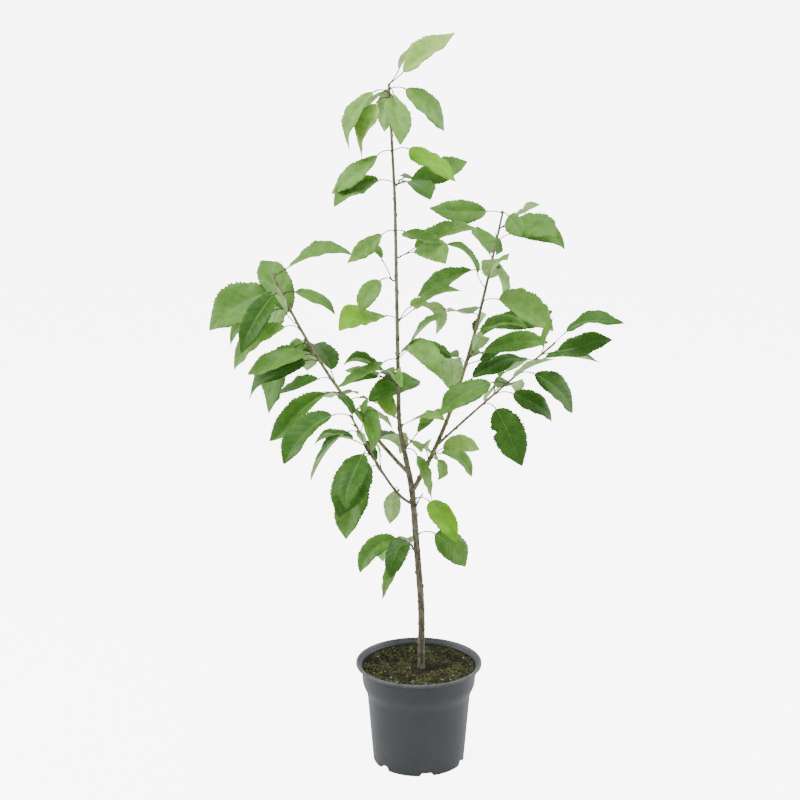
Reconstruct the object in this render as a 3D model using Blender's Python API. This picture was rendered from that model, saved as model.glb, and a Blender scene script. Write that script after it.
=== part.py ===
"""Young sweet cherry tree in a grower's pot, metres, +Z up, front towards -Y.

The origin is the centre of the pot's flat underside. The trunk starts at the soil and runs
up whole to a leafy tip, and four boughs leave it near the fork. Each bough is bare at its
foot and goes on as a leafy shoot. The other leaves stand on short spurs. A seeded rule deals
every leaf its place, form and turn, and gives a leaf that would touch something a new aim.
"""
import math
import random
from collections import namedtuple

import bmesh
import bpy
from mathutils import Vector
from mathutils.bvhtree import BVHTree

# Pot: radii and heights of the turned wall
POT_SIDES = 48
POT_WALL = 0.0016
POT_FLOOR = 0.0020
POT_BASE_RADIUS = 0.0765
POT_FOOT_RADIUS = 0.0803
POT_CORNER = 0.0030
POT_STEP_LOW = (0.0902, 0.1262)
POT_STEP_HIGH = (0.0985, 0.1450)
POT_COLLAR = (0.1008, 0.1755)
RIM_RADIUS = 0.1100
RIM_HEIGHT = 0.1833
RIM_THICKNESS = 0.0046
NOTCHES = 6
NOTCH_FIRST = -80.0
NOTCH_WIDTH = 0.024
NOTCH_TOP_WIDTH = 0.015
NOTCH_HEIGHT = 0.0075

# Soil: the root ball that fills the pot, with a mossy top and a bare dip round the trunk
SOIL_LEVEL = 0.1710
SOIL_CLEAR = 0.0004
SOIL_FACET_CLEAR = 0.0009
SOIL_SHOULDER = 0.0030
SOIL_DIP = (0.014, 0.032)
SOIL_RELIEF = 0.0022
SOIL_SIDES = 40
SOIL_TOP_RINGS = (0.84, 0.66, 0.48, 0.33, 0.19, 0.10)

GAP = 0.0003

# Trunk: stretches of (length, lean towards -X in degrees), joined over 50 mm
TRUNK_FOOT = (0.0043, 0.0, SOIL_LEVEL + GAP)
TRUNK_STRETCHES = ((0.115, 0.0), (0.215, 4.5), (0.110, 11.5), (0.385, 1.0), (0.188, 3.0))
TRUNK_JOINT = 0.025
TRUNK_ENDS_AT = 0.970
TRUNK_RINGS = 54
TRUNK_SIDES = 10
TRUNK_FLARE = 0.0012
TRUNK_FLARE_LENGTH = 0.018
TRUNK_TAPER = ((0.00, 0.0060), (0.33, 0.0052), (0.37, 0.0046), (0.42, 0.0038), (1.00, 0.0020))
BUD_SPACING = 0.027
BUD_SWELLING = 0.09

# Boughs: foot is a height on the trunk, or a share of the parent bough. Headings run
# anticlockwise from +X, the lean goes from foot to tip, and bare is the leafless share.
Bough = namedtuple("Bough", "foot heading lean_foot lean_tip length curl thick thin bare")
BOUGH_LEFT = Bough(0.525, 155, 50, 27, 0.415, 1.0, 0.0034, 0.0024, 0.27)
BOUGH_LEFT_LOW = Bough(0.471, 215, 65, 30, 0.220, 5.0, 0.0027, 0.0018, 0.33)
BOUGH_RIGHT = Bough(0.494, 35, 40, 15, 0.505, 2.5, 0.0042, 0.0019, 0.29)
BOUGH_RIGHT_SIDE = Bough(0.175, -25, 45, 48, 0.290, 1.0, 0.0024, 0.0017, 0.32)
STUB = Bough(0.450, -45, 10, 40, 0.050, 1.0, 0.0013, 0.0012, 1.0)
BOUGH_SIDES = 8
BOUGH_RINGS = 10
BOUGH_COLLAR = 0.12
BOUGH_COLLAR_LENGTH = 0.010
STUB_RINGS = 8
STUB_BUD = ((6, 0.0008), (7, 0.0012), (8, 0.0001))

# Leaf forms: stalk length, launch of the stalk over the level, droop along the blade, bend
# aside, fold of the halves, and half the blade's width over its length
Form = namedtuple("Form", "stalk launch droop aside fold width")
PLAIN = Form(0.030, 32, 24, 0, 20, 0.34)
ARCHED = Form(0.032, 48, 60, 0, 22, 0.33)
HOOKED = Form(0.036, 64, 95, 0, 26, 0.32)
RAISED = Form(0.026, 18, -20, 0, 20, 0.34)
CLOSED = Form(0.030, 40, 40, 0, 50, 0.32)
BROAD = Form(0.028, 32, 26, 0, 12, 0.42)
SLIM = Form(0.030, 32, 26, 0, 28, 0.26)
BENT_LEFT = Form(0.030, 32, 34, 45, 20, 0.34)
BENT_RIGHT = Form(0.030, 32, 34, -45, 20, 0.34)
LEAF_FORMS = (
    PLAIN, PLAIN, ARCHED, ARCHED, HOOKED, RAISED, RAISED, CLOSED, BROAD, BROAD, SLIM,
    BENT_LEFT, BENT_RIGHT)

# Seeded spreads: what a draw may add to a leaf's planned values, in degrees or as a share
STALK_SPREAD = 0.10
ANGLE_SPREAD = 6.0
LENGTH_SPREAD = 0.10
SLANT_SPREAD = 5.0
TOWARD_SPREAD = 20.0
WANDER = 7.0
TRIES = 8
FACE_TURN = 32.0
FACE_SPREAD = 25.0
LEAF_REACH = 0.19

# Leaves that the front view sees shortened lean this far to the front or back. The rule adds
# leaves on the far side, and young ones.
DEEP_TOWARD = 52.0
FAR_TOWARD = -50.0
FAR_SLANTS = (-160.0, -20.0)
YOUNG_LENGTH = 0.045
YOUNG_SLANTS = (20.0, 160.0)

STALK_RADIUS = 0.0009
STALK_RINGS = 2
BLADE_THICKNESS = 0.012
BLADE_STATIONS = (0.0, 0.12, 0.34, 0.60, 0.83, 1.0)
BLADE_END_WIDTH = 0.0008
PATH_STEPS = 24

# Leafy shoots: wide and deep are the ways the leaves point in the front view, from the tip
# down, in degrees anticlockwise from +X. Deep ones lean to the front and back by turns.
Shoot = namedtuple("Shoot", "length far young seed wide deep")
SHOOT_STEP = 0.045
SHOOT_SIDES = 7
TOP_SHOOT = Shoot(0.105, 1, 0, 1011, (35, -45, -115, -100), (-75,))
LEFT_SHOOT = Shoot(0.120, 3, 0, 1012, (
    20, -155, -150, -140, -110, -135, -150, -135, 20), (-120, 130, -160, 160, -50))
LEFT_LOW_SHOOT = Shoot(0.118, 1, 3, 1013, (-135, -120, -130, -110), (-115,))
RIGHT_SHOOT = Shoot(0.105, 2, 1, 1014, (
    175, -15, -155, -25, 15, 10, 20), (-5, 120, 65, -160, 30, 170, 100))
RIGHT_SIDE_SHOOT = Shoot(0.100, 2, 0, 515, (15, 15, -10, -50, -155, -40, -65), (30,))

# Spurs: foot is a height on the trunk, or a share of the bough that carries it
Spur = namedtuple("Spur", "foot heading length far seed wide deep")
SPUR_LENGTH = 0.009
SPUR_RADII = (0.00145, 0.0016, 0.00135)
SPUR_BEND = 0.4
SPUR_UPTURN = 0.7
SPUR_NODE = 0.7
SPUR_RISE = 25
SPUR_SIDES = 6
TRUNK_SPURS = (
    Spur(1.073, -90, 0.090, 0, 530, (-140, -35), ()),
    Spur(1.018, -60, 0.095, 1, 331, (15, -155), (-15,)),
    Spur(0.939, 90, 0.080, 0, 1032, (-145,), (-5,)),
    Spur(0.899, -45, 0.105, 0, 1033, (20,), (-5,)),
    Spur(0.859, 150, 0.070, 0, 1034, (), (-130, -175)),
    Spur(0.790, 60, 0.095, 1, 1035, (25,), (-170,)),
    Spur(0.726, -100, 0.095, 0, 1036, (-155, 45), (-35,)),
    Spur(0.681, 120, 0.090, 1, 1037, (-160,), (30,)),
    Spur(0.605, 70, 0.070, 0, 1038, (), (20, 135, 155)),
    Spur(0.570, -80, 0.085, 1, 1039, (30, -70), ()),
    Spur(0.482, -60, 0.085, 0, 1040, (-70,), ()),
    Spur(0.419, -60, 0.082, 0, 141, (-50,), ()),
    Spur(0.391, -120, 0.090, 1, 742, (-130, -110), (-120,)),
)
LEFT_LOW_SPUR = Spur(0.22, -60, 0.060, 0, 1051, (-95,), ())
RIGHT_SPUR = Spur(0.12, 80, 0.075, 0, 1052, (-10,), (-15, -40))


def clear_scene():
    for obj in list(bpy.data.objects):
        bpy.data.objects.remove(obj, do_unlink=True)


def material(name, colour, roughness, metallic=0.0):
    """A plain Principled surface."""
    made = bpy.data.materials.new(name)
    made.use_nodes = True
    shader = made.node_tree.nodes["Principled BSDF"]
    shader.inputs["Base Color"].default_value = (*colour, 1.0)
    shader.inputs["Roughness"].default_value = roughness
    shader.inputs["Metallic"].default_value = metallic
    made.diffuse_color = (*colour, 1.0)
    return made


def add_object(name, bm, surface, collection=None):
    """Make an object of a closed bmesh, in triangles that face outwards."""
    bmesh.ops.recalc_face_normals(bm, faces=bm.faces)
    bmesh.ops.triangulate(bm, faces=bm.faces)
    mesh = bpy.data.meshes.new(name)
    bm.to_mesh(mesh)
    bm.free()
    mesh.materials.append(surface)
    obj = bpy.data.objects.new(name, mesh)
    (collection or bpy.context.scene.collection).objects.link(obj)
    return obj


def hide_tool(obj):
    """A cutter is drawn as wire and isn't part of the tree."""
    obj.hide_render = True
    obj.display_type = "WIRE"


def cut(obj, tool):
    boolean = obj.modifiers.new("cut", "BOOLEAN")
    boolean.operation = "DIFFERENCE"
    boolean.object = tool
    boolean.solver = "EXACT"


def skin_rings(rings):
    """Close a row of rings with the same number of points into one body."""
    bm = bmesh.new()
    rows = [[bm.verts.new(point) for point in ring] for ring in rings]
    count = len(rows[0])
    for low, high in zip(rows, rows[1:]):
        for i in range(count):
            j = (i + 1) % count
            bm.faces.new((low[i], low[j], high[j], high[i]))
    bm.faces.new(list(reversed(rows[0])))
    bm.faces.new(rows[-1])
    return bm


def turn_profile(profile, sides):
    """Turn a profile of (radius, height) that starts and ends on the axis."""
    bm = bmesh.new()
    points = [bm.verts.new((radius, 0.0, height)) for radius, height in profile]
    edges = [bm.edges.new(pair) for pair in zip(points, points[1:])]
    bmesh.ops.spin(
        bm, geom=points + edges, cent=(0, 0, 0), axis=(0, 0, 1),
        angle=math.tau, steps=sides, use_merge=False, use_duplicate=False)
    bmesh.ops.remove_doubles(bm, verts=bm.verts, dist=1e-6)
    return bm


def pot_outside():
    """Outer wall from the axis up to the top of the lip."""
    corner = [
        (POT_BASE_RADIUS, 0.0),
        (POT_BASE_RADIUS + 0.62 * (POT_FOOT_RADIUS - POT_BASE_RADIUS), 0.30 * POT_CORNER),
        (POT_FOOT_RADIUS, POT_CORNER),
    ]
    low, high = POT_STEP_LOW, POT_STEP_HIGH
    step = [
        low,
        (low[0] + 0.18 * (high[0] - low[0]), low[1] + 0.30 * (high[1] - low[1])),
        (low[0] + 0.72 * (high[0] - low[0]), low[1] + 0.62 * (high[1] - low[1])),
        high,
    ]
    under = RIM_HEIGHT - RIM_THICKNESS
    lip = [
        (RIM_RADIUS - 0.0030, under - 0.0006),
        (RIM_RADIUS - 0.0004, under + 0.0012),
        (RIM_RADIUS, RIM_HEIGHT - 0.0018),
        (RIM_RADIUS - 0.0010, RIM_HEIGHT - 0.0003),
        (RIM_RADIUS - 0.0024, RIM_HEIGHT),
    ]
    return corner, step, [POT_COLLAR] + lip


def pot_profile():
    corner, step, lip = pot_outside()
    outside = [(0.0, 0.0)] + corner + step + lip
    ledge = [
        (RIM_RADIUS - 0.0046, RIM_HEIGHT - 0.0008),
        (RIM_RADIUS - 0.0068, RIM_HEIGHT - 0.0052),
        (RIM_RADIUS - 0.0098, RIM_HEIGHT - 0.0062),
    ]
    inner_collar = [(POT_COLLAR[0] - POT_WALL, POT_COLLAR[1] - 0.0030)]
    inner_step = [(radius - POT_WALL, height + 0.0002) for radius, height in reversed(step)]
    inner_foot = [
        (POT_FOOT_RADIUS - POT_WALL, POT_CORNER + 0.0006),
        (POT_BASE_RADIUS, POT_FLOOR),
        (0.0, POT_FLOOR),
    ]
    return outside + ledge + inner_collar + inner_step + inner_foot


def inner_radius(height):
    """Radius of the pot's inner wall at a height."""
    low, high = POT_STEP_LOW, POT_STEP_HIGH
    marks = (
        (POT_FLOOR, POT_BASE_RADIUS),
        (POT_CORNER + 0.0006, POT_FOOT_RADIUS - POT_WALL),
        (low[1], low[0] - POT_WALL),
        (high[1], high[0] - POT_WALL),
        (POT_COLLAR[1], POT_COLLAR[0] - POT_WALL),
    )
    return table(marks, height)


def table(marks, value):
    """Straight lines between marks of (value, result)."""
    for (a, low), (b, high) in zip(marks, marks[1:]):
        if value <= b:
            return low + (high - low) * max(0.0, (value - a) / (b - a))
    return marks[-1][1]


def notch_tool(surface):
    """Six wedges that cut the drain notches through the foot of the wall."""
    bm = bmesh.new()
    section = (
        (-NOTCH_WIDTH / 2, -0.002), (NOTCH_WIDTH / 2, -0.002),
        (NOTCH_TOP_WIDTH / 2, NOTCH_HEIGHT), (-NOTCH_TOP_WIDTH / 2, NOTCH_HEIGHT),
    )
    for i in range(NOTCHES):
        angle = math.radians(NOTCH_FIRST + 360.0 * i / NOTCHES)
        out = Vector((math.cos(angle), math.sin(angle), 0.0))
        across = Vector((-math.sin(angle), math.cos(angle), 0.0))
        rows = []
        for radius in (POT_BASE_RADIUS - 0.0055, POT_FOOT_RADIUS + 0.0068):
            rows.append([
                bm.verts.new(out * radius + across * x + Vector((0, 0, z)))
                for x, z in section])
        for j in range(4):
            k = (j + 1) % 4
            bm.faces.new((rows[0][j], rows[0][k], rows[1][k], rows[1][j]))
        bm.faces.new(list(reversed(rows[0])))
        bm.faces.new(rows[1])
    tool = add_object("notch_tool", bm, surface)
    hide_tool(tool)
    return tool


def build_pot(surface):
    pot = add_object("pot", turn_profile(pot_profile(), POT_SIDES), surface)
    cut(pot, notch_tool(surface))
    return pot


def soil_height(x, y):
    """Low mounds of moss that sink into a bare dip at the trunk's foot."""
    mounds = (
        math.sin(95 * x + 1.3) * math.cos(80 * y - 0.4)
        + 0.6 * math.sin(170 * x - 140 * y + 2.1)
        + 0.4 * math.cos(230 * y + 60 * x))
    from_trunk = math.hypot(x - TRUNK_FOOT[0], y - TRUNK_FOOT[1])
    rise = min(1.0, max(0.0, (from_trunk - SOIL_DIP[0]) / (SOIL_DIP[1] - SOIL_DIP[0])))
    return SOIL_LEVEL + rise * SOIL_RELIEF * (0.8 + 0.45 * mounds)


def build_soil(surface):
    """The root ball: wall rings that follow the pot, then rings across the top."""
    heights = (
        POT_FLOOR + SOIL_CLEAR, POT_CORNER + 0.0010, POT_STEP_LOW[1] - 0.0010,
        POT_STEP_HIGH[1] - 0.0080, POT_STEP_HIGH[1] + 0.0010, SOIL_LEVEL)
    rings = []
    for i, height in enumerate(heights):
        radius = inner_radius(height) - SOIL_CLEAR - SOIL_FACET_CLEAR
        if i == 3:
            radius -= SOIL_SHOULDER
        rings.append([(radius, height, k) for k in range(SOIL_SIDES)])
    edge = rings[-1][0][0]
    for share in SOIL_TOP_RINGS:
        rings.append([(edge * share, None, k) for k in range(SOIL_SIDES)])
    solid = []
    for ring in rings:
        row = []
        for radius, height, k in ring:
            angle = math.tau * k / SOIL_SIDES
            centre = TRUNK_FOOT[0] * (1.0 - radius / edge) if height is None else 0.0
            x = centre + radius * math.cos(angle)
            y = radius * math.sin(angle)
            row.append((x, y, soil_height(x, y) if height is None else height))
        solid.append(row)
    return add_object("soil", skin_rings(solid), surface)


def way(heading, rise):
    """Unit vector from a heading round +Z and a rise over the level, in degrees."""
    h, r = math.radians(heading), math.radians(rise)
    return Vector((math.cos(r) * math.cos(h), math.cos(r) * math.sin(h), math.sin(r)))


def trunk_lean(height):
    """Lean at a length up the trunk, blended where two stretches join."""
    start = 0.0
    for i, (length, lean) in enumerate(TRUNK_STRETCHES):
        end = start + length
        if height < end or i == len(TRUNK_STRETCHES) - 1:
            break
        start = end
    if i + 1 < len(TRUNK_STRETCHES) and height > end - TRUNK_JOINT:
        share = 0.5 * (height - end + TRUNK_JOINT) / TRUNK_JOINT
        lean += (TRUNK_STRETCHES[i + 1][1] - lean) * share
    elif i > 0 and height < start + TRUNK_JOINT:
        share = 0.5 * (start + TRUNK_JOINT - height) / TRUNK_JOINT
        lean += (TRUNK_STRETCHES[i - 1][1] - lean) * share
    return lean


def trunk_axis(steps=126):
    total = sum(length for length, lean in TRUNK_STRETCHES)
    points = [Vector(TRUNK_FOOT)]
    for i in range(steps):
        lean = trunk_lean((i + 0.5) * total / steps)
        points.append(points[-1] + way(180, 90 - lean) * (total / steps))
    return points


def limb_axis(foot, heading, lean_foot, lean_tip, length, curl, steps=60):
    """Axis of a limb whose lean goes from foot to tip as (1 - share) ** curl."""
    points = [Vector(foot)]
    for i in range(steps):
        share = (i + 0.5) / steps
        lean = lean_tip + (lean_foot - lean_tip) * (1.0 - share) ** curl
        points.append(points[-1] + way(heading, 90 - lean) * (length / steps))
    return points


def axis_length(axis):
    return sum((b - a).length for a, b in zip(axis, axis[1:]))


def point_at(axis, share):
    place = min(max(share, 0.0), 1.0) * (len(axis) - 1)
    i = min(int(place), len(axis) - 2)
    return axis[i].lerp(axis[i + 1], place - i)


def share_at_height(axis, height):
    for i, (a, b) in enumerate(zip(axis, axis[1:])):
        if b.z >= height:
            return (i + (height - a.z) / (b.z - a.z)) / (len(axis) - 1)
    return 1.0


def direction_at(axis, share):
    return (point_at(axis, share + 0.01) - point_at(axis, share - 0.01)).normalized()


def stretch(axis, start, end, count):
    return [point_at(axis, start + (end - start) * i / count) for i in range(count + 1)]


def tube_rings(points, radii, sides):
    """Rings round a path, carried along it without twist."""
    rings = []
    across = None
    for i, point in enumerate(points):
        ahead = points[min(i + 1, len(points) - 1)]
        behind = points[max(i - 1, 0)]
        along = (ahead - behind).normalized()
        if across is None:
            across = along.orthogonal().normalized()
        across = (across - along * across.dot(along)).normalized()
        other = along.cross(across)
        ring = []
        for k in range(sides):
            angle = math.tau * k / sides
            ring.append(point + (across * math.cos(angle) + other * math.sin(angle)) * radii[i])
        rings.append(ring)
    return rings


def trunk_radius(axis, share):
    """Taper of the trunk with its flared foot and a slight swelling at each bud."""
    height = share * axis_length(axis)
    radius = table(TRUNK_TAPER, share)
    flare = TRUNK_FLARE * math.exp(-height / TRUNK_FLARE_LENGTH)
    bud = max(0.0, math.cos(math.tau * height / BUD_SPACING)) ** 4
    return radius * (1.0 + BUD_SWELLING * bud) + flare


def build_trunk(axis, surface, grow=0.0, name="trunk"):
    shares = [TRUNK_ENDS_AT * i / TRUNK_RINGS for i in range(TRUNK_RINGS + 1)]
    points = [point_at(axis, share) for share in shares]
    radii = [trunk_radius(axis, share) + grow for share in shares]
    bm = skin_rings(tube_rings(points, radii, TRUNK_SIDES))
    for vert in bm.verts:
        if vert.co.z < TRUNK_FOOT[2] + 0.002:
            vert.co.z = TRUNK_FOOT[2]
    return add_object(name, bm, surface)


def bough_radius(bough, share):
    """Even taper with a collar where the bough leaves its parent."""
    collar = BOUGH_COLLAR * bough.thick * math.exp(-share * bough.length / BOUGH_COLLAR_LENGTH)
    return bough.thick + (bough.thin - bough.thick) * share + collar


def bough_axis(parent, bough, on_trunk=True):
    share = share_at_height(parent, bough.foot) if on_trunk else bough.foot
    return limb_axis(
        point_at(parent, share), bough.heading, bough.lean_foot, bough.lean_tip,
        bough.length, bough.curl)


def build_bough(name, axis, bough, surface, grow=0.0):
    """The bare part of a bough, from inside its parent to where the leaves begin."""
    points = stretch(axis, 0.0, bough.bare, BOUGH_RINGS)
    radii = [
        bough_radius(bough, bough.bare * i / BOUGH_RINGS) + grow
        for i in range(BOUGH_RINGS + 1)]
    return add_object(name, skin_rings(tube_rings(points, radii, BOUGH_SIDES)), surface)


def build_stub(trunk, surface):
    """A short dead twig with a bud at its end."""
    points = stretch(bough_axis(trunk, STUB), 0.0, 1.0, STUB_RINGS)
    radii = [bough_radius(STUB, i / STUB_RINGS) for i in range(STUB_RINGS + 1)]
    for i, swelling in STUB_BUD:
        radii[i] += swelling
    return add_object("stub_twig", skin_rings(tube_rings(points, radii, SPUR_SIDES)), surface)


def half_width(share):
    """Half the blade's width over its longest: rounded foot, drawn-out tip."""
    late = min(1.0, max(0.0, (share - 0.72) / 0.28))
    drawn = 1.0 - 0.35 * late * late * (3.0 - 2.0 * late)
    return 1.62 * share ** 0.58 * (1.0 - share) ** 0.72 * drawn


def draw(chance, middle, spread):
    return chance.uniform(middle - spread, middle + spread)


def aim(slant, toward):
    """Heading and rise of a slant in the front view that also leans to the front."""
    s, t = math.radians(slant), math.radians(toward)
    x, z = math.cos(t) * math.cos(s), math.cos(t) * math.sin(s)
    return math.degrees(math.atan2(-math.sin(t), x)), math.degrees(math.asin(z))


def draw_leaf(chance, slant, toward, length, attempt):
    """A leaf's seeded sizes. Each new attempt may wander further from the planned aim."""
    form = chance.choice(LEAF_FORMS)
    wander = WANDER * attempt
    slant = draw(chance, slant, SLANT_SPREAD + wander)
    heading, rise = aim(slant, draw(chance, toward, TOWARD_SPREAD + wander))
    return {
        "heading": heading,
        "rise": rise,
        "length": length * draw(chance, 1.0, LENGTH_SPREAD),
        "stalk": form.stalk * draw(chance, 1.0, STALK_SPREAD),
        "launch": draw(chance, form.launch, ANGLE_SPREAD),
        "droop": draw(chance, form.droop, ANGLE_SPREAD),
        "aside": draw(chance, form.aside, ANGLE_SPREAD),
        "fold": math.radians(draw(chance, form.fold, ANGLE_SPREAD)),
        "roll": math.radians(draw(
            chance, FACE_TURN * math.cos(math.radians(heading)), FACE_SPREAD)),
        "width": form.width,
    }


def leaf_path(node, leaf):
    """Midline: the stalk arches from its launch, then the blade bends down past its rise."""
    start = leaf["rise"] + leaf["droop"] / 2
    point = Vector(node)
    path = [(point.copy(), leaf["heading"], leaf["launch"])]
    for i in range(PATH_STEPS):
        rise = leaf["launch"] + (start - leaf["launch"]) * (i + 0.5) / PATH_STEPS
        point = point + way(leaf["heading"], rise) * (leaf["stalk"] / PATH_STEPS)
        path.append((point.copy(), leaf["heading"], rise))
    for i in range(PATH_STEPS):
        share = (i + 0.5) / PATH_STEPS
        heading = leaf["heading"] + leaf["aside"] * share
        rise = start - leaf["droop"] * share
        point = point + way(heading, rise) * (leaf["length"] / PATH_STEPS)
        path.append((point.copy(), heading, rise))
    return path


def leaf_axes(heading, rise, roll):
    """Across and up of a leaf that heads one way and is rolled about its midline."""
    h = math.radians(heading)
    along = way(heading, rise)
    across = Vector((-math.sin(h), math.cos(h), 0.0))
    up = along.cross(across)
    return (across * math.cos(roll) + up * math.sin(roll),
            up * math.cos(roll) - across * math.sin(roll))


def leaf_rings(node, leaf):
    """Six-point rings: a round stalk that opens into a folded blade."""
    path = leaf_path(node, leaf)
    rings = []
    for i in range(STALK_RINGS):
        point, heading, rise = path[i * PATH_STEPS // STALK_RINGS]
        across, up = leaf_axes(heading, rise, leaf["roll"])
        ring = []
        for k in range(6):
            angle = math.radians(30 + 60 * k)
            ring.append(point + (across * math.cos(angle) + up * math.sin(angle)) * STALK_RADIUS)
        rings.append(ring)
    thick = 0.5 * BLADE_THICKNESS * leaf["length"]
    for share in BLADE_STATIONS:
        point, heading, rise = path[PATH_STEPS + round(share * PATH_STEPS)]
        across, up = leaf_axes(heading, rise, leaf["roll"])
        width = max(half_width(share) * leaf["width"] * leaf["length"], BLADE_END_WIDTH)
        side = across * (width * math.cos(leaf["fold"]))
        lift = up * (width * math.sin(leaf["fold"]))
        rings.append([
            point + side + lift + up * thick, point + up * thick,
            point - side + lift + up * thick, point - side + lift - up * thick,
            point - up * thick, point + side + lift - up * thick])
    return rings


def tree_of(obj):
    bm = bmesh.new()
    bm.from_mesh(obj.data)
    made = BVHTree.FromBMesh(bm)
    bm.free()
    return made


def tree_of_rings(rings):
    bm = skin_rings(rings)
    bmesh.ops.triangulate(bm, faces=bm.faces)
    made = BVHTree.FromBMesh(bm)
    bm.free()
    return made


def is_free(rings, node, taken, blades):
    """True for a leaf that stays in its mass's space and meets no solid and no other blade."""
    if max((point - node).length for ring in rings for point in ring) > LEAF_REACH:
        return False
    whole = tree_of_rings(rings)
    if any(whole.overlap(other) for other in taken):
        return False
    blade = tree_of_rings(rings[STALK_RINGS + 1:])
    return not any(blade.overlap(other) for other in blades)


def fuse(stem, collection):
    """One union of the stem and its leaves, applied."""
    union = stem.modifiers.new("leaves", "BOOLEAN")
    union.operation = "UNION"
    union.operand_type = "COLLECTION"
    union.collection = collection
    union.solver = "EXACT"
    bpy.context.view_layer.update()
    graph = bpy.context.evaluated_depsgraph_get()
    mesh = bpy.data.meshes.new_from_object(stem.evaluated_get(graph))
    stem.modifiers.clear()
    stem.data = mesh
    for leaf in list(collection.objects):
        bpy.data.objects.remove(leaf, do_unlink=True)
    bpy.data.collections.remove(collection)


def grow_mass(name, stem_rings, plan, chance, surface, taken):
    """A stem and its leaves as one solid. A leaf that finds no free aim is skipped."""
    stem = add_object(name, skin_rings(stem_rings), surface)
    collection = bpy.data.collections.new(name + "_leaves")
    bpy.context.scene.collection.children.link(collection)
    blades = []
    for node, slant, toward, length in plan:
        for attempt in range(TRIES):
            rings = leaf_rings(node, draw_leaf(chance, slant, toward, length, attempt))
            if is_free(rings, node, taken, blades):
                add_object(f"{name}_{len(blades)}", skin_rings(rings), surface, collection)
                blades.append(tree_of_rings(rings[STALK_RINGS + 1:]))
                break
    fuse(stem, collection)
    taken.append(tree_of(stem))
    return stem


def deal_kinds(chance, mass):
    """Slant, lean to the front and length of a mass's leaves, in their kinds."""
    wide = [(slant, 0.0, mass.length) for slant in mass.wide]
    deep = [
        (slant, DEEP_TOWARD * (-1) ** i, mass.length) for i, slant in enumerate(mass.deep)]
    far = [(chance.uniform(*FAR_SLANTS), FAR_TOWARD, mass.length) for i in range(mass.far)]
    return wide, deep, far


def shoot_plan(chance, axis, start, shoot):
    """Node and aim of each leaf. Each kind is dealt evenly along the shoot, tip first."""
    wide, deep, far = deal_kinds(chance, shoot)
    young = [(chance.uniform(*YOUNG_SLANTS), 0.0, YOUNG_LENGTH) for i in range(shoot.young)]
    plan = []
    for kind, first in ((wide, 0.05), (deep, 0.60), (far, 0.50), (young, 0.75)):
        for i, leaf in enumerate(kind):
            share = 1.0 - (1.0 - start) * (i + first) / len(kind)
            plan.append((point_at(axis, share), *leaf))
    return plan


def grow_shoot(name, axis, bough, shoot, surface, taken):
    """The leafy part of a bough, which goes on from its bare end."""
    chance = random.Random(shoot.seed)
    start = bough.bare + GAP / axis_length(axis)
    count = max(4, round((1.0 - start) * bough.length / SHOOT_STEP))
    points = stretch(axis, start, 1.0, count)
    radii = [bough_radius(bough, start + (1.0 - start) * i / count) for i in range(count + 1)]
    plan = shoot_plan(chance, axis, start, shoot)
    return grow_mass(name, tube_rings(points, radii, SHOOT_SIDES), plan, chance, surface, taken)


def grow_spur(name, axis, share, radius, spur, surface, taken):
    """A short spur that stands off its limb and carries its leaves near its end."""
    chance = random.Random(spur.seed)
    along = direction_at(axis, share)
    out = way(spur.heading, SPUR_RISE)
    out = (out - along * out.dot(along)).normalized()
    root = point_at(axis, share) + out * (radius + GAP)
    turned_up = (out + along * SPUR_UPTURN).normalized()
    bend = root + out * (SPUR_BEND * SPUR_LENGTH)
    end = bend + turned_up * ((1.0 - SPUR_BEND) * SPUR_LENGTH)
    node = bend.lerp(end, SPUR_NODE)
    plan = [(node, *leaf) for kind in deal_kinds(chance, spur) for leaf in kind]
    rings = tube_rings([root, bend, end], SPUR_RADII, SPUR_SIDES)
    return grow_mass(name, rings, plan, chance, surface, taken)


def build_limbs(axes, trunk_bark, bough_bark):
    """Trunk, boughs and stub. Each bough is cut clear of the limb that carries it."""
    trunk, left, left_low, right, right_side = axes
    trunk_tool = build_trunk(trunk, trunk_bark, GAP, "trunk_tool")
    right_tool = build_bough("bough_right_tool", right, BOUGH_RIGHT, bough_bark, GAP)
    hide_tool(trunk_tool)
    hide_tool(right_tool)
    side = build_bough("bough_right_side", right_side, BOUGH_RIGHT_SIDE, bough_bark)
    cut(side, right_tool)
    on_trunk = [
        build_bough("bough_left", left, BOUGH_LEFT, bough_bark),
        build_bough("bough_left_low", left_low, BOUGH_LEFT_LOW, bough_bark),
        build_bough("bough_right", right, BOUGH_RIGHT, bough_bark),
        build_stub(trunk, bough_bark),
    ]
    for limb in on_trunk:
        cut(limb, trunk_tool)
    return [build_trunk(trunk, trunk_bark), side] + on_trunk


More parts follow.
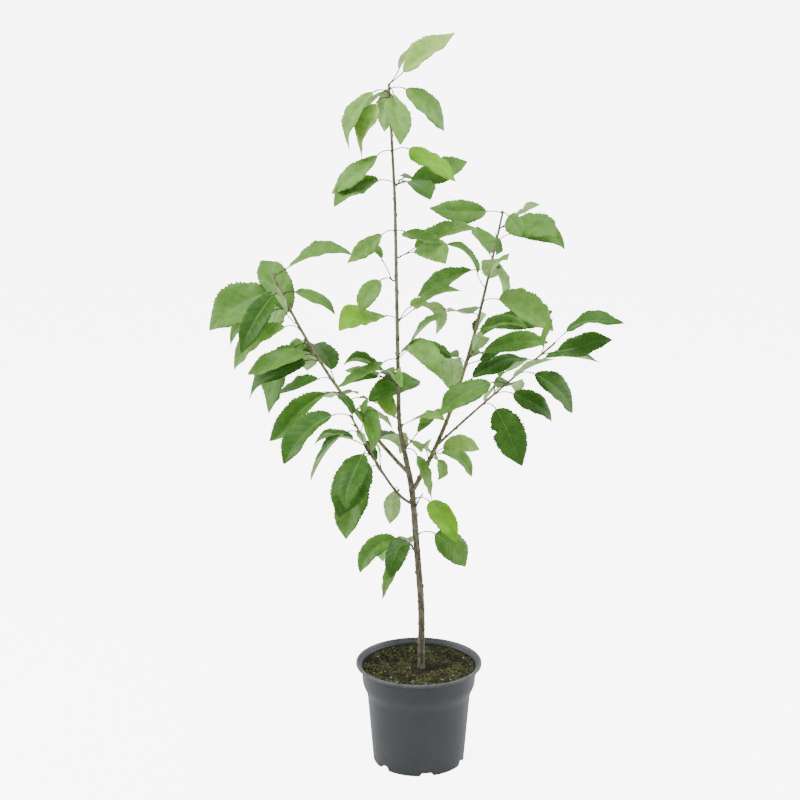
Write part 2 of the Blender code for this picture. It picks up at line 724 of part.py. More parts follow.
def grow_leaves(axes, limbs, surface):
    """All masses of leaves, each clear of the limbs and of the masses before it."""
    trunk, left, left_low, right, right_side = axes
    taken = [tree_of(limb) for limb in limbs]
    leader = BOUGH_LEFT._replace(
        length=axis_length(trunk), thick=TRUNK_TAPER[0][1], thin=TRUNK_TAPER[-1][1],
        bare=TRUNK_ENDS_AT)
    masses = [
        grow_shoot("leaves_top", trunk, leader, TOP_SHOOT, surface, taken),
        grow_shoot("leaves_left", left, BOUGH_LEFT, LEFT_SHOOT, surface, taken),
        grow_shoot("leaves_left_low", left_low, BOUGH_LEFT_LOW, LEFT_LOW_SHOOT, surface, taken),
        grow_shoot("leaves_right", right, BOUGH_RIGHT, RIGHT_SHOOT, surface, taken),
        grow_shoot(
            "leaves_right_side", right_side, BOUGH_RIGHT_SIDE, RIGHT_SIDE_SHOOT, surface, taken),
    ]
    for i, spur in enumerate(TRUNK_SPURS):
        share = share_at_height(trunk, spur.foot)
        radius = trunk_radius(trunk, share)
        name = f"leaves_spur_{i + 1:02d}"
        masses.append(grow_spur(name, trunk, share, radius, spur, surface, taken))
    for name, axis, bough, spur in (
            ("leaves_low_knob", left_low, BOUGH_LEFT_LOW, LEFT_LOW_SPUR),
            ("leaves_fork", right, BOUGH_RIGHT, RIGHT_SPUR)):
        radius = bough_radius(bough, spur.foot)
        masses.append(grow_spur(name, axis, spur.foot, radius, spur, surface, taken))
    return masses


def build_tree():
    clear_scene()
    pot_plastic = material("pot_plastic", (0.075, 0.085, 0.095), 0.55)
    mossy_soil = material("mossy_soil", (0.055, 0.060, 0.020), 0.95)
    trunk_bark = material("trunk_bark", (0.160, 0.115, 0.080), 0.80)
    bough_bark = material("bough_bark", (0.175, 0.150, 0.090), 0.75)
    leaf_green = material("leaf_green", (0.110, 0.230, 0.050), 0.50)

    trunk = trunk_axis()
    right = bough_axis(trunk, BOUGH_RIGHT)
    axes = (
        trunk, bough_axis(trunk, BOUGH_LEFT), bough_axis(trunk, BOUGH_LEFT_LOW), right,
        bough_axis(right, BOUGH_RIGHT_SIDE, on_trunk=False))
    limbs = build_limbs(axes, trunk_bark, bough_bark)
    masses = grow_leaves(axes, limbs, leaf_green)
    solids = [build_pot(pot_plastic), build_soil(mossy_soil)]

    stand = bpy.data.objects.new("cherry_tree", None)
    bpy.context.scene.collection.objects.link(stand)
    for obj in solids + limbs + masses:
        obj.parent = stand


build_tree()
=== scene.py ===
"""Looks of a young sweet cherry tree in its grower's pot, in metres, front towards -Y."""
import math
import random
from collections import namedtuple

import bpy
import numpy as np
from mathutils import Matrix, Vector
from mathutils.bvhtree import BVHTree


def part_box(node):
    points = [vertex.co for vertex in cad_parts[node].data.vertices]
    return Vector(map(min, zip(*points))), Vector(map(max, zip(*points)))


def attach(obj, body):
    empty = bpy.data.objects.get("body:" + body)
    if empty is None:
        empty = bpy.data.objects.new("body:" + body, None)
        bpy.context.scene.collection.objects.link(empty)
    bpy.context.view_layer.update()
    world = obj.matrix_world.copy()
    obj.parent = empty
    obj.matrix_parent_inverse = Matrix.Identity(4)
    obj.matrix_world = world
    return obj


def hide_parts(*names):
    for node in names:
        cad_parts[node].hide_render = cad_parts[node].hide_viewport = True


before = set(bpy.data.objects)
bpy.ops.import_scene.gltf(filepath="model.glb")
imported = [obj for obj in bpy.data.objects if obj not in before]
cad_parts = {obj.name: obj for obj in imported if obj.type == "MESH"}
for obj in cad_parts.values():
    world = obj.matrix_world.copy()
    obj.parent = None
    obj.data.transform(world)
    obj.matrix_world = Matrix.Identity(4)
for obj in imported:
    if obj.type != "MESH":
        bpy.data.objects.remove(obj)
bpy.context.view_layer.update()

# Camera, floor and light
# The plant is seen from 3 m, slightly from above, through a long lens. It stands on a wide
# white floor in a white room, between two soft boxes and under a third.
CAMERA_PLACE = (-0.033, -3.0, 1.442)
CAMERA_PITCH = 14.7
CAMERA_LENS = 82.8
SENSOR_WIDTH = 36.0
FLOOR_RADII = (0.5, 2.0, 8.0, 30.0)
FLOOR_COLUMNS = 64
FLOOR_WHITE = (0.80, 0.80, 0.80)
SEEN_WHITE = 7.0
MIRRORED_WHITE = 1.3
ROOM_LIGHT = 0.40


def new_object(name, material, points, faces, smooth=True):
    """A mesh object of one material, a point array and a face array."""
    mesh = bpy.data.meshes.new(name)
    mesh.materials.append(material)
    mesh.from_pydata(np.asarray(points).tolist(), [], np.asarray(faces).tolist())
    mesh.polygons.foreach_set("use_smooth", np.full(len(mesh.polygons), smooth))
    mesh.update()
    obj = bpy.data.objects.new(name, mesh)
    bpy.context.scene.collection.objects.link(obj)
    return obj


def grid_faces(rows, columns, closed=False):
    """Triangles of a grid whose point (i, j) has index i * columns + j."""
    wide = columns if closed else columns - 1
    i, j = np.meshgrid(np.arange(rows - 1), np.arange(wide), indexing="ij")
    k = (j + 1) % columns
    a, b, c, d = i * columns + j, i * columns + k, (i + 1) * columns + k, (i + 1) * columns + j
    return np.stack([a, b, c, a, c, d], -1).reshape(-1, 3)


def plain_material(name, colour, roughness, gloss=0.5):
    """A Principled material, its node tree and its shader."""
    made = bpy.data.materials.new(name)
    made.use_nodes = True
    shader = made.node_tree.nodes["Principled BSDF"]
    shader.inputs["Base Color"].default_value = (*colour, 1.0)
    shader.inputs["Roughness"].default_value = roughness
    shader.inputs["Specular IOR Level"].default_value = gloss
    made.diffuse_color = (*colour, 1.0)
    return made, made.node_tree, shader


def angles(count):
    """Even angles once round."""
    return np.arange(count) * math.tau / count


def floor_surface():
    """A flat disc: rings round the origin, with a fan inside the first."""
    angle = angles(FLOOR_COLUMNS)
    ring = np.stack([np.cos(angle), np.sin(angle), np.zeros(FLOOR_COLUMNS)], -1)
    points = np.vstack([radius * ring for radius in FLOOR_RADII] + [(0.0, 0.0, 0.0)])
    k = np.arange(FLOOR_COLUMNS)
    middle = np.stack([np.full(FLOOR_COLUMNS, len(points) - 1), k, (k + 1) % FLOOR_COLUMNS], -1)
    rings = grid_faces(len(FLOOR_RADII), FLOOR_COLUMNS, closed=True)[:, ::-1]
    return points, np.vstack([rings, middle])


def white_strength(tree, strength_input, light, mirrored):
    """A strength that shines on things as a light, shows in their gloss and looks white."""
    path = tree.nodes.new("ShaderNodeLightPath")
    gloss = tree.nodes.new("ShaderNodeMapRange")
    gloss.inputs["To Min"].default_value = light
    gloss.inputs["To Max"].default_value = mirrored
    seen = tree.nodes.new("ShaderNodeMapRange")
    seen.inputs["To Max"].default_value = SEEN_WHITE
    tree.links.new(path.outputs["Is Glossy Ray"], gloss.inputs["Value"])
    tree.links.new(path.outputs["Is Camera Ray"], seen.inputs["Value"])
    tree.links.new(gloss.outputs["Result"], seen.inputs["To Min"])
    tree.links.new(seen.outputs["Result"], strength_input)


floor_paint, tree, shader = plain_material("floor_paint", FLOOR_WHITE, 0.9)
shader.inputs["Emission Color"].default_value = (1.0, 1.0, 1.0, 1.0)
white_strength(tree, shader.inputs["Emission Strength"], 0.0, 0.5)
floor = new_object("floor", floor_paint, *floor_surface())

camera_data = bpy.data.cameras.new("camera")
camera_data.lens = CAMERA_LENS
camera_data.sensor_width = SENSOR_WIDTH
camera = bpy.data.objects.new("camera", camera_data)
camera.location = CAMERA_PLACE
camera.rotation_euler = (math.radians(90.0 - CAMERA_PITCH), 0.0, 0.0)
bpy.context.scene.collection.objects.link(camera)
bpy.context.scene.camera = camera

room = bpy.data.worlds.new("studio")
room.use_nodes = True
room.node_tree.nodes["Background"].inputs["Color"].default_value = (1.0, 1.0, 1.0, 1.0)
room_strength = room.node_tree.nodes["Background"].inputs["Strength"]
white_strength(room.node_tree, room_strength, ROOM_LIGHT, MIRRORED_WHITE)
bpy.context.scene.world = room


def add_softbox(name, place, aim, size, watts):
    """A square area light at a place, turned to an aim point."""
    data = bpy.data.lights.new(name, "AREA")
    data.size = size
    data.energy = watts
    light = bpy.data.objects.new(name, data)
    light.location = place
    light.visible_camera = False
    offset = np.subtract(aim, place)
    yaw = math.atan2(offset[1], offset[0])
    pitch = math.atan2(offset[2], math.hypot(offset[0], offset[1]))
    light.rotation_euler = (math.pi / 2 + pitch, 0.0, yaw - math.pi / 2)
    bpy.context.scene.collection.objects.link(light)


add_softbox("softbox_left", (-2.3, 0.1, 1.4), (0.0, 0.0, 0.6), 1.8, 50.0)
add_softbox("softbox_right", (2.3, 0.2, 1.4), (0.0, 0.0, 0.6), 1.8, 46.0)
add_softbox("softbox_top", (-0.3, -0.7, 3.1), (0.0, 0.0, 0.6), 1.6, 72.0)

# Pot
# A thin grower's pot moulded in one piece of slate-grey polypropylene: a tapered body with a
# sloping step to its collar, a rolled lip and six drain notches round the foot.
POT_FLOOR = 0.0020
POT_COLUMNS = 288
RIM_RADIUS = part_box("pot")[1].x
RIM_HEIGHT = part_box("pot")[1].z
NOTCHES = 6
NOTCH_FIRST = -80.0
NOTCH_HALF_ANGLES = (5.6, 8.9)
NOTCH_HEIGHT = 0.0075
NOTCH_INNER_RADIUS = 0.0690
NOTCH_FADE = 0.0180
# Corners of the wall as (radius, height, rounding), outside from the axis up to the lip
POT_OUTSIDE = (
    (0.0000, 0.0000, 0.0000), (0.0672, 0.0000, 0.0002), (0.0700, 0.0000, 0.0002),
    (0.0801, 0.0000, 0.0030), (0.0810, 0.0110, 0.0004), (0.0817, 0.0200, 0.0004),
    (0.0857, 0.0690, 0.0004), (0.0903, 0.1255, 0.0072), (0.0984, 0.1440, 0.0068),
    (0.1006, 0.1752, 0.0014), (0.1084, 0.1772, 0.0014),
)
# The same for the lip's top and the inside, down to the axis
POT_INSIDE = (
    (RIM_RADIUS, 0.1790, 0.0012), (RIM_RADIUS, RIM_HEIGHT, 0.0022),
    (0.1056, RIM_HEIGHT, 0.0014), (0.1038, 0.1792, 0.0012), (0.1008, 0.1784, 0.0010),
    (0.1000, 0.1762, 0.0008), (0.0990, 0.1758, 0.0008), (0.0968, 0.1440, 0.0060),
    (0.0887, 0.1255, 0.0060), (0.0799, 0.0200, 0.0004), (0.0787, 0.0050, 0.0030),
    (0.0755, POT_FLOOR, 0.0016), (0.0700, POT_FLOOR, 0.0002), (0.0672, POT_FLOOR, 0.0002),
    (0.0000, POT_FLOOR, 0.0000),
)


def rounded_profile(corners, steps=5):
    """A profile in which each corner gives way to a parabola that touches both of its sides
    at the rounding's distance from the corner."""
    corners = np.array(corners, float)
    rows = [corners[:1, :2]]
    t = np.linspace(0.0, 1.0, steps)[:, None]
    for before, here, after in zip(corners, corners[1:], corners[2:]):
        back, ahead = before[:2] - here[:2], after[:2] - here[:2]
        start = here[:2] + here[2] * back / np.linalg.norm(back)
        end = here[:2] + here[2] * ahead / np.linalg.norm(ahead)
        rows.append((1 - t) ** 2 * start + 2 * t * (1 - t) * here[:2] + t ** 2 * end)
    rows.append(corners[-1:, :2])
    return np.vstack(rows)


def closed_faces(rows, columns):
    """Triangles of a closed skin: rings, then a fan to each of the two end points after them."""
    k = np.arange(columns)
    m = (k + 1) % columns
    last = (rows - 1) * columns
    low = np.stack([np.full(columns, rows * columns), m, k], -1)
    high = np.stack([np.full(columns, rows * columns + 1), last + k, last + m], -1)
    return np.vstack([grid_faces(rows, columns, closed=True), low, high])


def turned_skin(radius, z, low, high):
    """Rings at radii and heights round the axis, closed by an end point low and high on it."""
    angle = angles(z.shape[1])
    points = np.stack([radius * np.cos(angle), radius * np.sin(angle), z], -1).reshape(-1, 3)
    return np.vstack([points, [(0.0, 0.0, low), (0.0, 0.0, high)]]), closed_faces(*z.shape)


def notch_lift(angle):
    """Height of the foot's edge round the pot: flat, with a ramp up and down at each notch."""
    pitch = 360.0 / NOTCHES
    off = np.abs((np.degrees(angle) - NOTCH_FIRST + pitch / 2) % pitch - pitch / 2)
    inner, outer = NOTCH_HALF_ANGLES
    return NOTCH_HEIGHT * np.clip((outer - off) / (outer - inner), 0.0, 1.0)


def pot_surface():
    """The profile turned round the axis. Near the foot a point rises by the notch's lift,
    less the higher it lies and only outside the notch's inner radius."""
    profile = rounded_profile(POT_OUTSIDE + POT_INSIDE)
    radius, height = profile[1:-1, 0, None], profile[1:-1, 1, None]
    outside = np.clip((radius - NOTCH_INNER_RADIUS) / 0.001, 0.0, 1.0)
    low = np.clip(1.0 - height / NOTCH_FADE, 0.0, 1.0)
    z = height + notch_lift(angles(POT_COLUMNS))[None, :] * outside * low
    return turned_skin(radius, z, profile[0, 1], profile[-1, 1])


def noise(tree, scale, detail=2.0, stretch=(1.0, 1.0, 1.0)):
    """Noise over the object's own place, in bumps per metre, thinned along its axes."""
    coords = tree.nodes.new("ShaderNodeTexCoord")
    mapping = tree.nodes.new("ShaderNodeMapping")
    mapping.inputs["Scale"].default_value = stretch
    made = tree.nodes.new("ShaderNodeTexNoise")
    made.inputs["Scale"].default_value = scale
    made.inputs["Detail"].default_value = detail
    tree.links.new(coords.outputs["Object"], mapping.inputs["Vector"])
    tree.links.new(mapping.outputs["Vector"], made.inputs["Vector"])
    return made.outputs["Fac"]


def ramp(tree, value, *stops):
    """Colours along a value, as stops of (place, colour)."""
    made = tree.nodes.new("ShaderNodeValToRGB")
    elements = made.color_ramp.elements
    while len(elements) < len(stops):
        elements.new(0.5)
    for element, (place, colour) in zip(elements, stops):
        element.position = place
        element.color = (*colour, 1.0)
    tree.links.new(value, made.inputs["Fac"])
    return made.outputs["Color"]


def mix(tree, share, under, over):
    """One colour over another, as far as a share says."""
    made = tree.nodes.new("ShaderNodeMix")
    made.data_type = "RGBA"
    tree.links.new(share, made.inputs["Factor"])
    tree.links.new(under, made.inputs["A"])
    tree.links.new(over, made.inputs["B"])
    return made.outputs["Result"]


def shade(colour, share):
    """A colour made darker or lighter by one share."""
    return tuple(share * c for c in colour)


def height_of(tree):
    """How high a place of the object lies, in metres."""
    coords = tree.nodes.new("ShaderNodeTexCoord")
    split = tree.nodes.new("ShaderNodeSeparateXYZ")
    tree.links.new(coords.outputs["Object"], split.inputs["Vector"])
    return split.outputs["Z"]


def bump(tree, shader, height, distance):
    """Relief of a height, at most distance deep."""
    made = tree.nodes.new("ShaderNodeBump")
    made.inputs["Strength"].default_value = 0.6
    made.inputs["Distance"].default_value = distance
    tree.links.new(height, made.inputs["Height"])
    tree.links.new(made.outputs["Normal"], shader.inputs["Normal"])


BLACK, WHITE = (0.0, 0.0, 0.0), (1.0, 1.0, 1.0)
# The worn grey colours the scuffs and is also the darker grey of the lip's painted highlight; the
# lip grey is that highlight's lighter grey.
SLATE, SLATE_DARK, SLATE_WEAR_AND_HIGHLIGHT = (0.036, 0.042, 0.047), (0.030, 0.035, 0.039), (0.062, 0.070, 0.077)
SLATE_LIP_HIGHLIGHT = (0.115, 0.124, 0.130)

pot_plastic, tree, shader = plain_material("slate_plastic", SLATE, 0.42, 0.35)
clouds = ramp(tree, noise(tree, 18.0, 4.0), (0.35, SLATE_DARK), (0.65, SLATE))
scuffs = ramp(tree, noise(tree, 260.0, 6.0, (1.0, 1.0, 0.35)), (0.69, BLACK), (0.80, WHITE))
worn = ramp(tree, noise(tree, 30.0), (0.4, SLATE), (0.6, SLATE_WEAR_AND_HIGHLIGHT))
# The lip's top is painted lighter, in a mottle of two light greys: a painted highlight along the
# rim.
lip = ramp(tree, height_of(tree), (0.1768, BLACK), (0.1832, WHITE))
painted_lip_highlight = ramp(tree, noise(tree, 60.0), (0.3, SLATE_WEAR_AND_HIGHLIGHT), (0.6, SLATE_LIP_HIGHLIGHT))
scuffed = mix(tree, scuffs, clouds, worn)
tree.links.new(mix(tree, lip, scuffed, painted_lip_highlight), shader.inputs["Base Color"])
bump(tree, shader, noise(tree, 1300.0), 0.0002)
pot = new_object("pot_shell", pot_plastic, *pot_surface())
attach(pot, "root")
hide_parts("pot")

# Soil
# A root ball of moist peat compost that fills the pot. Its top is crumbly and grown over with
# moss, with pale grit here and there and a bare dip round the trunk, where the peat is darker.
SOIL_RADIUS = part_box("soil")[1].x + 0.0006
SOIL_LEVEL = 0.1710
SOIL_DIP = (0.014, 0.032)
SOIL_RELIEF = 0.0022
SOIL_COLUMNS = 240
SOIL_TOP_ROWS = 84
SOIL_WALL = ((0.0660, 0.0024), (0.0690, 0.0105), (0.0862, 0.1270), (0.0925, 0.1385))
TRUNK_FOOT = (0.0043, 0.0, 0.1713)
DARK_PATCH_PLACE = (0.0140, -0.0080, 0.1710)
DARK_PATCH_SHARE = (0.35, 0.35, 0.38)
GRAIN_FACES = np.array([
    (0, 1, 2), (0, 2, 3), (0, 3, 4), (0, 4, 5), (0, 5, 1), (1, 6, 2), (2, 7, 3), (3, 8, 4),
    (4, 9, 5), (5, 10, 1), (6, 7, 2), (7, 8, 3), (8, 9, 4), (9, 10, 5), (10, 6, 1), (11, 7, 6),
    (11, 8, 7), (11, 9, 8), (11, 10, 9), (11, 6, 10)])


def crumbs(x, y, cell, seed):
    """Smooth bumps from 0 to 1: seeded values on a square net, blended between its points."""
    net = np.random.default_rng(seed).random((128, 128))
    i, j = np.floor(x / cell).astype(int), np.floor(y / cell).astype(int)
    s, t = x / cell - i, y / cell - j
    s, t = s * s * (3.0 - 2.0 * s), t * t * (3.0 - 2.0 * t)
    i, j, k, m = i % 128, j % 128, (i + 1) % 128, (j + 1) % 128
    near, far = net[i, j] * (1 - s) + net[k, j] * s, net[i, m] * (1 - s) + net[k, m] * s
    return near * (1 - t) + far * t


def from_trunk(x, y):
    """0 in the dip at the trunk's foot, 1 outside it."""
    away = np.hypot(x - TRUNK_FOOT[0], y - TRUNK_FOOT[1])
    return np.clip((away - SOIL_DIP[0]) / (SOIL_DIP[1] - SOIL_DIP[0]), 0.0, 1.0)


def soil_height(x, y):
    """Low mounds that sink to a dip at the trunk, with crumbs of two sizes on them."""
    mounds = (
        np.sin(95 * x + 1.3) * np.cos(80 * y - 0.4) + 0.6 * np.sin(170 * x - 140 * y + 2.1)
        + 0.4 * np.cos(230 * y + 60 * x))
    rise = from_trunk(x, y)
    crumb = 0.0024 * crumbs(x, y, 0.0050, 1) + 0.0012 * crumbs(x, y, 0.0021, 2) - 0.0018
    return SOIL_LEVEL + rise * SOIL_RELIEF * (0.8 + 0.45 * mounds) + crumb * (0.5 + 0.5 * rise)


def soil_surface():
    """Rings up the root ball's wall, then rings across its top at the soil's height."""
    angle = angles(SOIL_COLUMNS)
    wall = np.array(SOIL_WALL + ((SOIL_RADIUS, 0.1500), (SOIL_RADIUS, SOIL_LEVEL - 0.0015)))
    radius = np.r_[wall[:, 0], SOIL_RADIUS * np.linspace(0.999, 0.01, SOIL_TOP_ROWS)][:, None]
    z = soil_height(radius * np.cos(angle), radius * np.sin(angle))
    z[:len(wall)] = wall[:, 1, None]
    return turned_skin(radius, z, SOIL_WALL[0][1], z[-1].mean())


def grains(places, sizes, flatness, seed):
    """Twenty-sided grains at places: a seeded share of the size along each corner's way."""
    low = np.arctan(0.5)
    corners = [[(0.0, 0.0, 1.0)]]
    for turned, rise in ((angles(5), np.sin(low)), (angles(5) + 0.2 * math.pi, -np.sin(low))):
        corners.append(np.stack([
            np.cos(turned) * np.cos(low), np.sin(turned) * np.cos(low), np.full(5, rise)], -1))
    corners = np.vstack(corners + [[(0.0, 0.0, -1.0)]])
    chance = np.random.default_rng(seed)
    turn = chance.uniform(0.0, math.tau, len(places))
    reach = sizes[:, None, None] * chance.uniform(0.65, 1.25, (len(places), 12, 1))
    shape = corners[None] * reach * (1.0, 1.0, flatness)
    x = shape[..., 0] * np.cos(turn)[:, None] - shape[..., 1] * np.sin(turn)[:, None]
    y = shape[..., 0] * np.sin(turn)[:, None] + shape[..., 1] * np.cos(turn)[:, None]
    points = np.stack([x, y, shape[..., 2]], -1) + places[:, None]
    faces = GRAIN_FACES[None] + 12 * np.arange(len(places))[:, None, None]
    return points.reshape(-1, 3), faces.reshape(-1, 3)


def scatter(count, patch, threshold, seed):
    """Seeded places on the soil's top, kept where broad patches are over a threshold."""
    chance = np.random.default_rng(seed)
    away = 0.985 * SOIL_RADIUS * np.sqrt(chance.random(4 * count))
    angle = chance.uniform(0.0, math.tau, 4 * count)
    x, y = away * np.cos(angle), away * np.sin(angle)
    kept = (crumbs(x, y, patch, seed) * from_trunk(x, y) > threshold).nonzero()[0][:count]
    return np.stack([x[kept], y[kept], soil_height(x[kept], y[kept])], -1)


PEAT, PEAT_BLACK, MOSS_OLIVE = (0.048, 0.041, 0.022), (0.010, 0.010, 0.009), (0.105, 0.114, 0.042)

soil_paint, tree, shader = plain_material("moist_peat", PEAT, 0.95, 0.15)
peat = ramp(tree, noise(tree, 420.0, 6.0), (0.40, PEAT_BLACK), (0.60, PEAT))
mossy = ramp(tree, noise(tree, 520.0, 6.0), (0.36, PEAT_BLACK), (0.50, PEAT), (0.64, MOSS_OLIVE))
patches = ramp(tree, noise(tree, 42.0, 3.0), (0.40, BLACK), (0.52, WHITE))
# The peat is multiplied darker, slightly bluish, within a few centimetres of a place by the trunk's
# foot.
coords = tree.nodes.new("ShaderNodeTexCoord")
away = tree.nodes.new("ShaderNodeVectorMath")
away.operation = "DISTANCE"
away.inputs[1].default_value = DARK_PATCH_PLACE
tree.links.new(coords.outputs["Object"], away.inputs[0])
beyond_dark_patch = ramp(tree, away.outputs["Value"], (0.014, DARK_PATCH_SHARE), (0.034, WHITE))
dark_patch = tree.nodes.new("ShaderNodeMix")
dark_patch.data_type = "RGBA"
dark_patch.blend_type = "MULTIPLY"
dark_patch.inputs["Factor"].default_value = 1.0
tree.links.new(mix(tree, patches, peat, mossy), dark_patch.inputs["A"])
tree.links.new(beyond_dark_patch, dark_patch.inputs["B"])
tree.links.new(dark_patch.outputs["Result"], shader.inputs["Base Color"])
bump(tree, shader, noise(tree, 900.0, 6.0), 0.0012)
soil = new_object("soil_ball", soil_paint, *soil_surface())
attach(soil, "root")
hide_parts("soil")

for name, colour, count, patch, threshold, size, flatness, seed in (
        ("moss_olive", (0.118, 0.124, 0.052), 1900, 0.022, 0.44, 0.0014, 0.8, 11),
        ("moss_bright", (0.220, 0.265, 0.095), 460, 0.013, 0.76, 0.0015, 0.9, 12),
        ("peat_crumbs", (0.026, 0.022, 0.015), 1400, 0.012, 0.35, 0.0017, 0.7, 13),
        ("pale_grit", (0.460, 0.480, 0.370), 60, 0.030, 0.15, 0.0014, 0.8, 14)):
    places = scatter(count, patch, threshold, seed)
    sizes = size * np.random.default_rng(seed + 50).uniform(0.5, 1.4, len(places))
    paint, tree, shader = plain_material(name, colour, 0.9, 0.15)
    lumps = new_object(name, paint, *grains(places, sizes, flatness, seed), smooth=False)
    specks = ramp(tree, noise(tree, 700.0, 3.0), (0.4, shade(colour, 0.55)), (0.6, colour))
    tree.links.new(specks, shader.inputs["Base Color"])
    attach(lumps, "root")

# Trunk and boughs
# The wood of a young tree: one slim trunk that leans twice on its way up, four low boughs and
# a dead stub. The bark is smooth grey-brown, with furrows, cross marks and a scar at each node.
TRUNK_STRETCHES = ((0.115, 0.0), (0.215, 4.5), (0.110, 11.5), (0.385, 1.0), (0.188, 3.0))
TRUNK_JOINT = 0.025
TRUNK_ENDS_AT = 0.970
TRUNK_FLARE = 0.0012
TRUNK_FLARE_LENGTH = 0.018
TRUNK_TAPER = ((0.00, 0.0060), (0.33, 0.0052), (0.37, 0.0046), (0.42, 0.0038), (1.00, 0.0020))
TRUNK_SUNK = 0.0012
BUD_SPACING = 0.027
BUD_SWELLING = 0.09
Bough = namedtuple("Bough", "foot heading lean_foot lean_tip length curl thick thin bare")
BOUGH_LEFT = Bough(0.525, 155, 50, 27, 0.415, 1.0, 0.0034, 0.0024, 0.27)
BOUGH_LEFT_LOW = Bough(0.471, 215, 65, 30, 0.220, 5.0, 0.0027, 0.0018, 0.33)
BOUGH_RIGHT = Bough(0.494, 35, 40, 15, 0.505, 2.5, 0.0042, 0.0019, 0.29)
BOUGH_RIGHT_SIDE = Bough(0.175, -25, 45, 48, 0.290, 1.0, 0.0024, 0.0017, 0.32)
STUB = Bough(0.450, -45, 10, 40, 0.050, 1.0, 0.0013, 0.0012, 1.0)
BOUGH_COLLAR = 0.12
BOUGH_COLLAR_LENGTH = 0.010
ROW_STEP = 0.0015
NODE_STEP = 0.026
NODE_TURN = math.radians(144)
NODE_REACH = (0.0018, 0.75)
NODE_SIZE = 0.40
FURROW_WAVES = (3, 4, 5, 7, 9)
FURROW_DEPTH = 0.009
FURROW_WINDING = 260.0
CROSS_MARKS_PER_METRE = 170
CROSS_MARK_REACH = (0.0005, 0.45)
CROSS_MARK_SIZE = 0.00016
SIDEWAYS = (0.31, 0.87, 0.38)


def way(heading, rise):
    """Unit vectors from headings round +Z and rises over the level, in degrees."""
    h, r = np.radians(heading), np.radians(rise)
    parts = np.broadcast_arrays(np.cos(r) * np.cos(h), np.cos(r) * np.sin(h), np.sin(r))
    return np.stack(parts, -1)


def trunk_axis(steps=126):
    """Even steps added up, each at the lean of its stretch, blended over the joints."""
    total = sum(length for length, lean in TRUNK_STRETCHES)
    ends = np.cumsum([length for length, lean in TRUNK_STRETCHES])
    leans = [lean for length, lean in TRUNK_STRETCHES]
    marks = np.stack([ends[:-1] - TRUNK_JOINT, ends[:-1] + TRUNK_JOINT], -1).ravel()
    lean = np.interp((np.arange(steps) + 0.5) * total / steps, marks, np.repeat(leans, 2)[1:-1])
    walk = np.cumsum(way(180.0, 90.0 - lean), 0) * (total / steps)
    return np.vstack([TRUNK_FOOT, TRUNK_FOOT + walk])


def limb_axis(foot, bough, steps=60):
    """Even steps added up, at a lean that goes from foot to tip as (1 - share) ** curl."""
    share = (np.arange(steps) + 0.5) / steps
    lean = bough.lean_tip + (bough.lean_foot - bough.lean_tip) * (1.0 - share) ** bough.curl
    walk = np.cumsum(way(bough.heading, 90.0 - lean), 0) * (bough.length / steps)
    return np.vstack([foot, foot + walk])


def points_at(line, shares):
    """Places on a line at shares of its even steps."""
    steps = np.linspace(0.0, 1.0, len(line))
    return np.stack([np.interp(shares, steps, line[:, k]) for k in range(3)], -1)


def line_length(line):
    return float(np.linalg.norm(np.diff(line, axis=0), axis=1).sum())


def share_at_height(line, height):
    return float(np.interp(height, line[:, 2], np.linspace(0.0, 1.0, len(line))))


def unit(vectors):
    return vectors / np.linalg.norm(vectors, axis=-1, keepdims=True)


def frames_at(line, shares):
    """Places on a line, with the way along it and two ways across it at each."""
    shares = np.asarray(shares, float)
    along = unit(points_at(line, shares + 0.01) - points_at(line, shares - 0.01))
    across = unit(np.cross(along, SIDEWAYS))
    return points_at(line, shares), along, across, np.cross(along, across)


def rings_round(across, other, sides):
    """Ways out of a line at even angles round it, from two ways across it at each place."""
    angle = angles(sides)[:, None]
    return across[:, None] * np.cos(angle) + other[:, None] * np.sin(angle)


def trunk_radius(line, share):
    """Taper of the trunk with its flared foot and a slight swelling at each bud."""
    height = np.asarray(share) * line_length(line)
    flare = TRUNK_FLARE * np.exp(-height / TRUNK_FLARE_LENGTH)
    bud = np.maximum(0.0, np.cos(math.tau * height / BUD_SPACING)) ** 4
    return np.interp(share, *np.transpose(TRUNK_TAPER)) * (1.0 + BUD_SWELLING * bud) + flare


def bough_radius(bough, share):
    """Even taper with a collar where the bough leaves its parent."""
    share = np.asarray(share)
    collar = BOUGH_COLLAR * bough.thick * np.exp(-share * bough.length / BOUGH_COLLAR_LENGTH)
    return bough.thick + (bough.thin - bough.thick) * share + collar


def bump_field(length, angle, marks, reach):
    """Sum of soft bumps of height 1: each falls off as a bell along the limb and round it."""
    along = (length[:, None, None] - marks[:, 0]) / reach[0]
    turned = (angle[None, :, None] - marks[:, 1] + math.pi) % math.tau - math.pi
    return np.exp(-along ** 2 - (turned / reach[1]) ** 2).sum(-1)


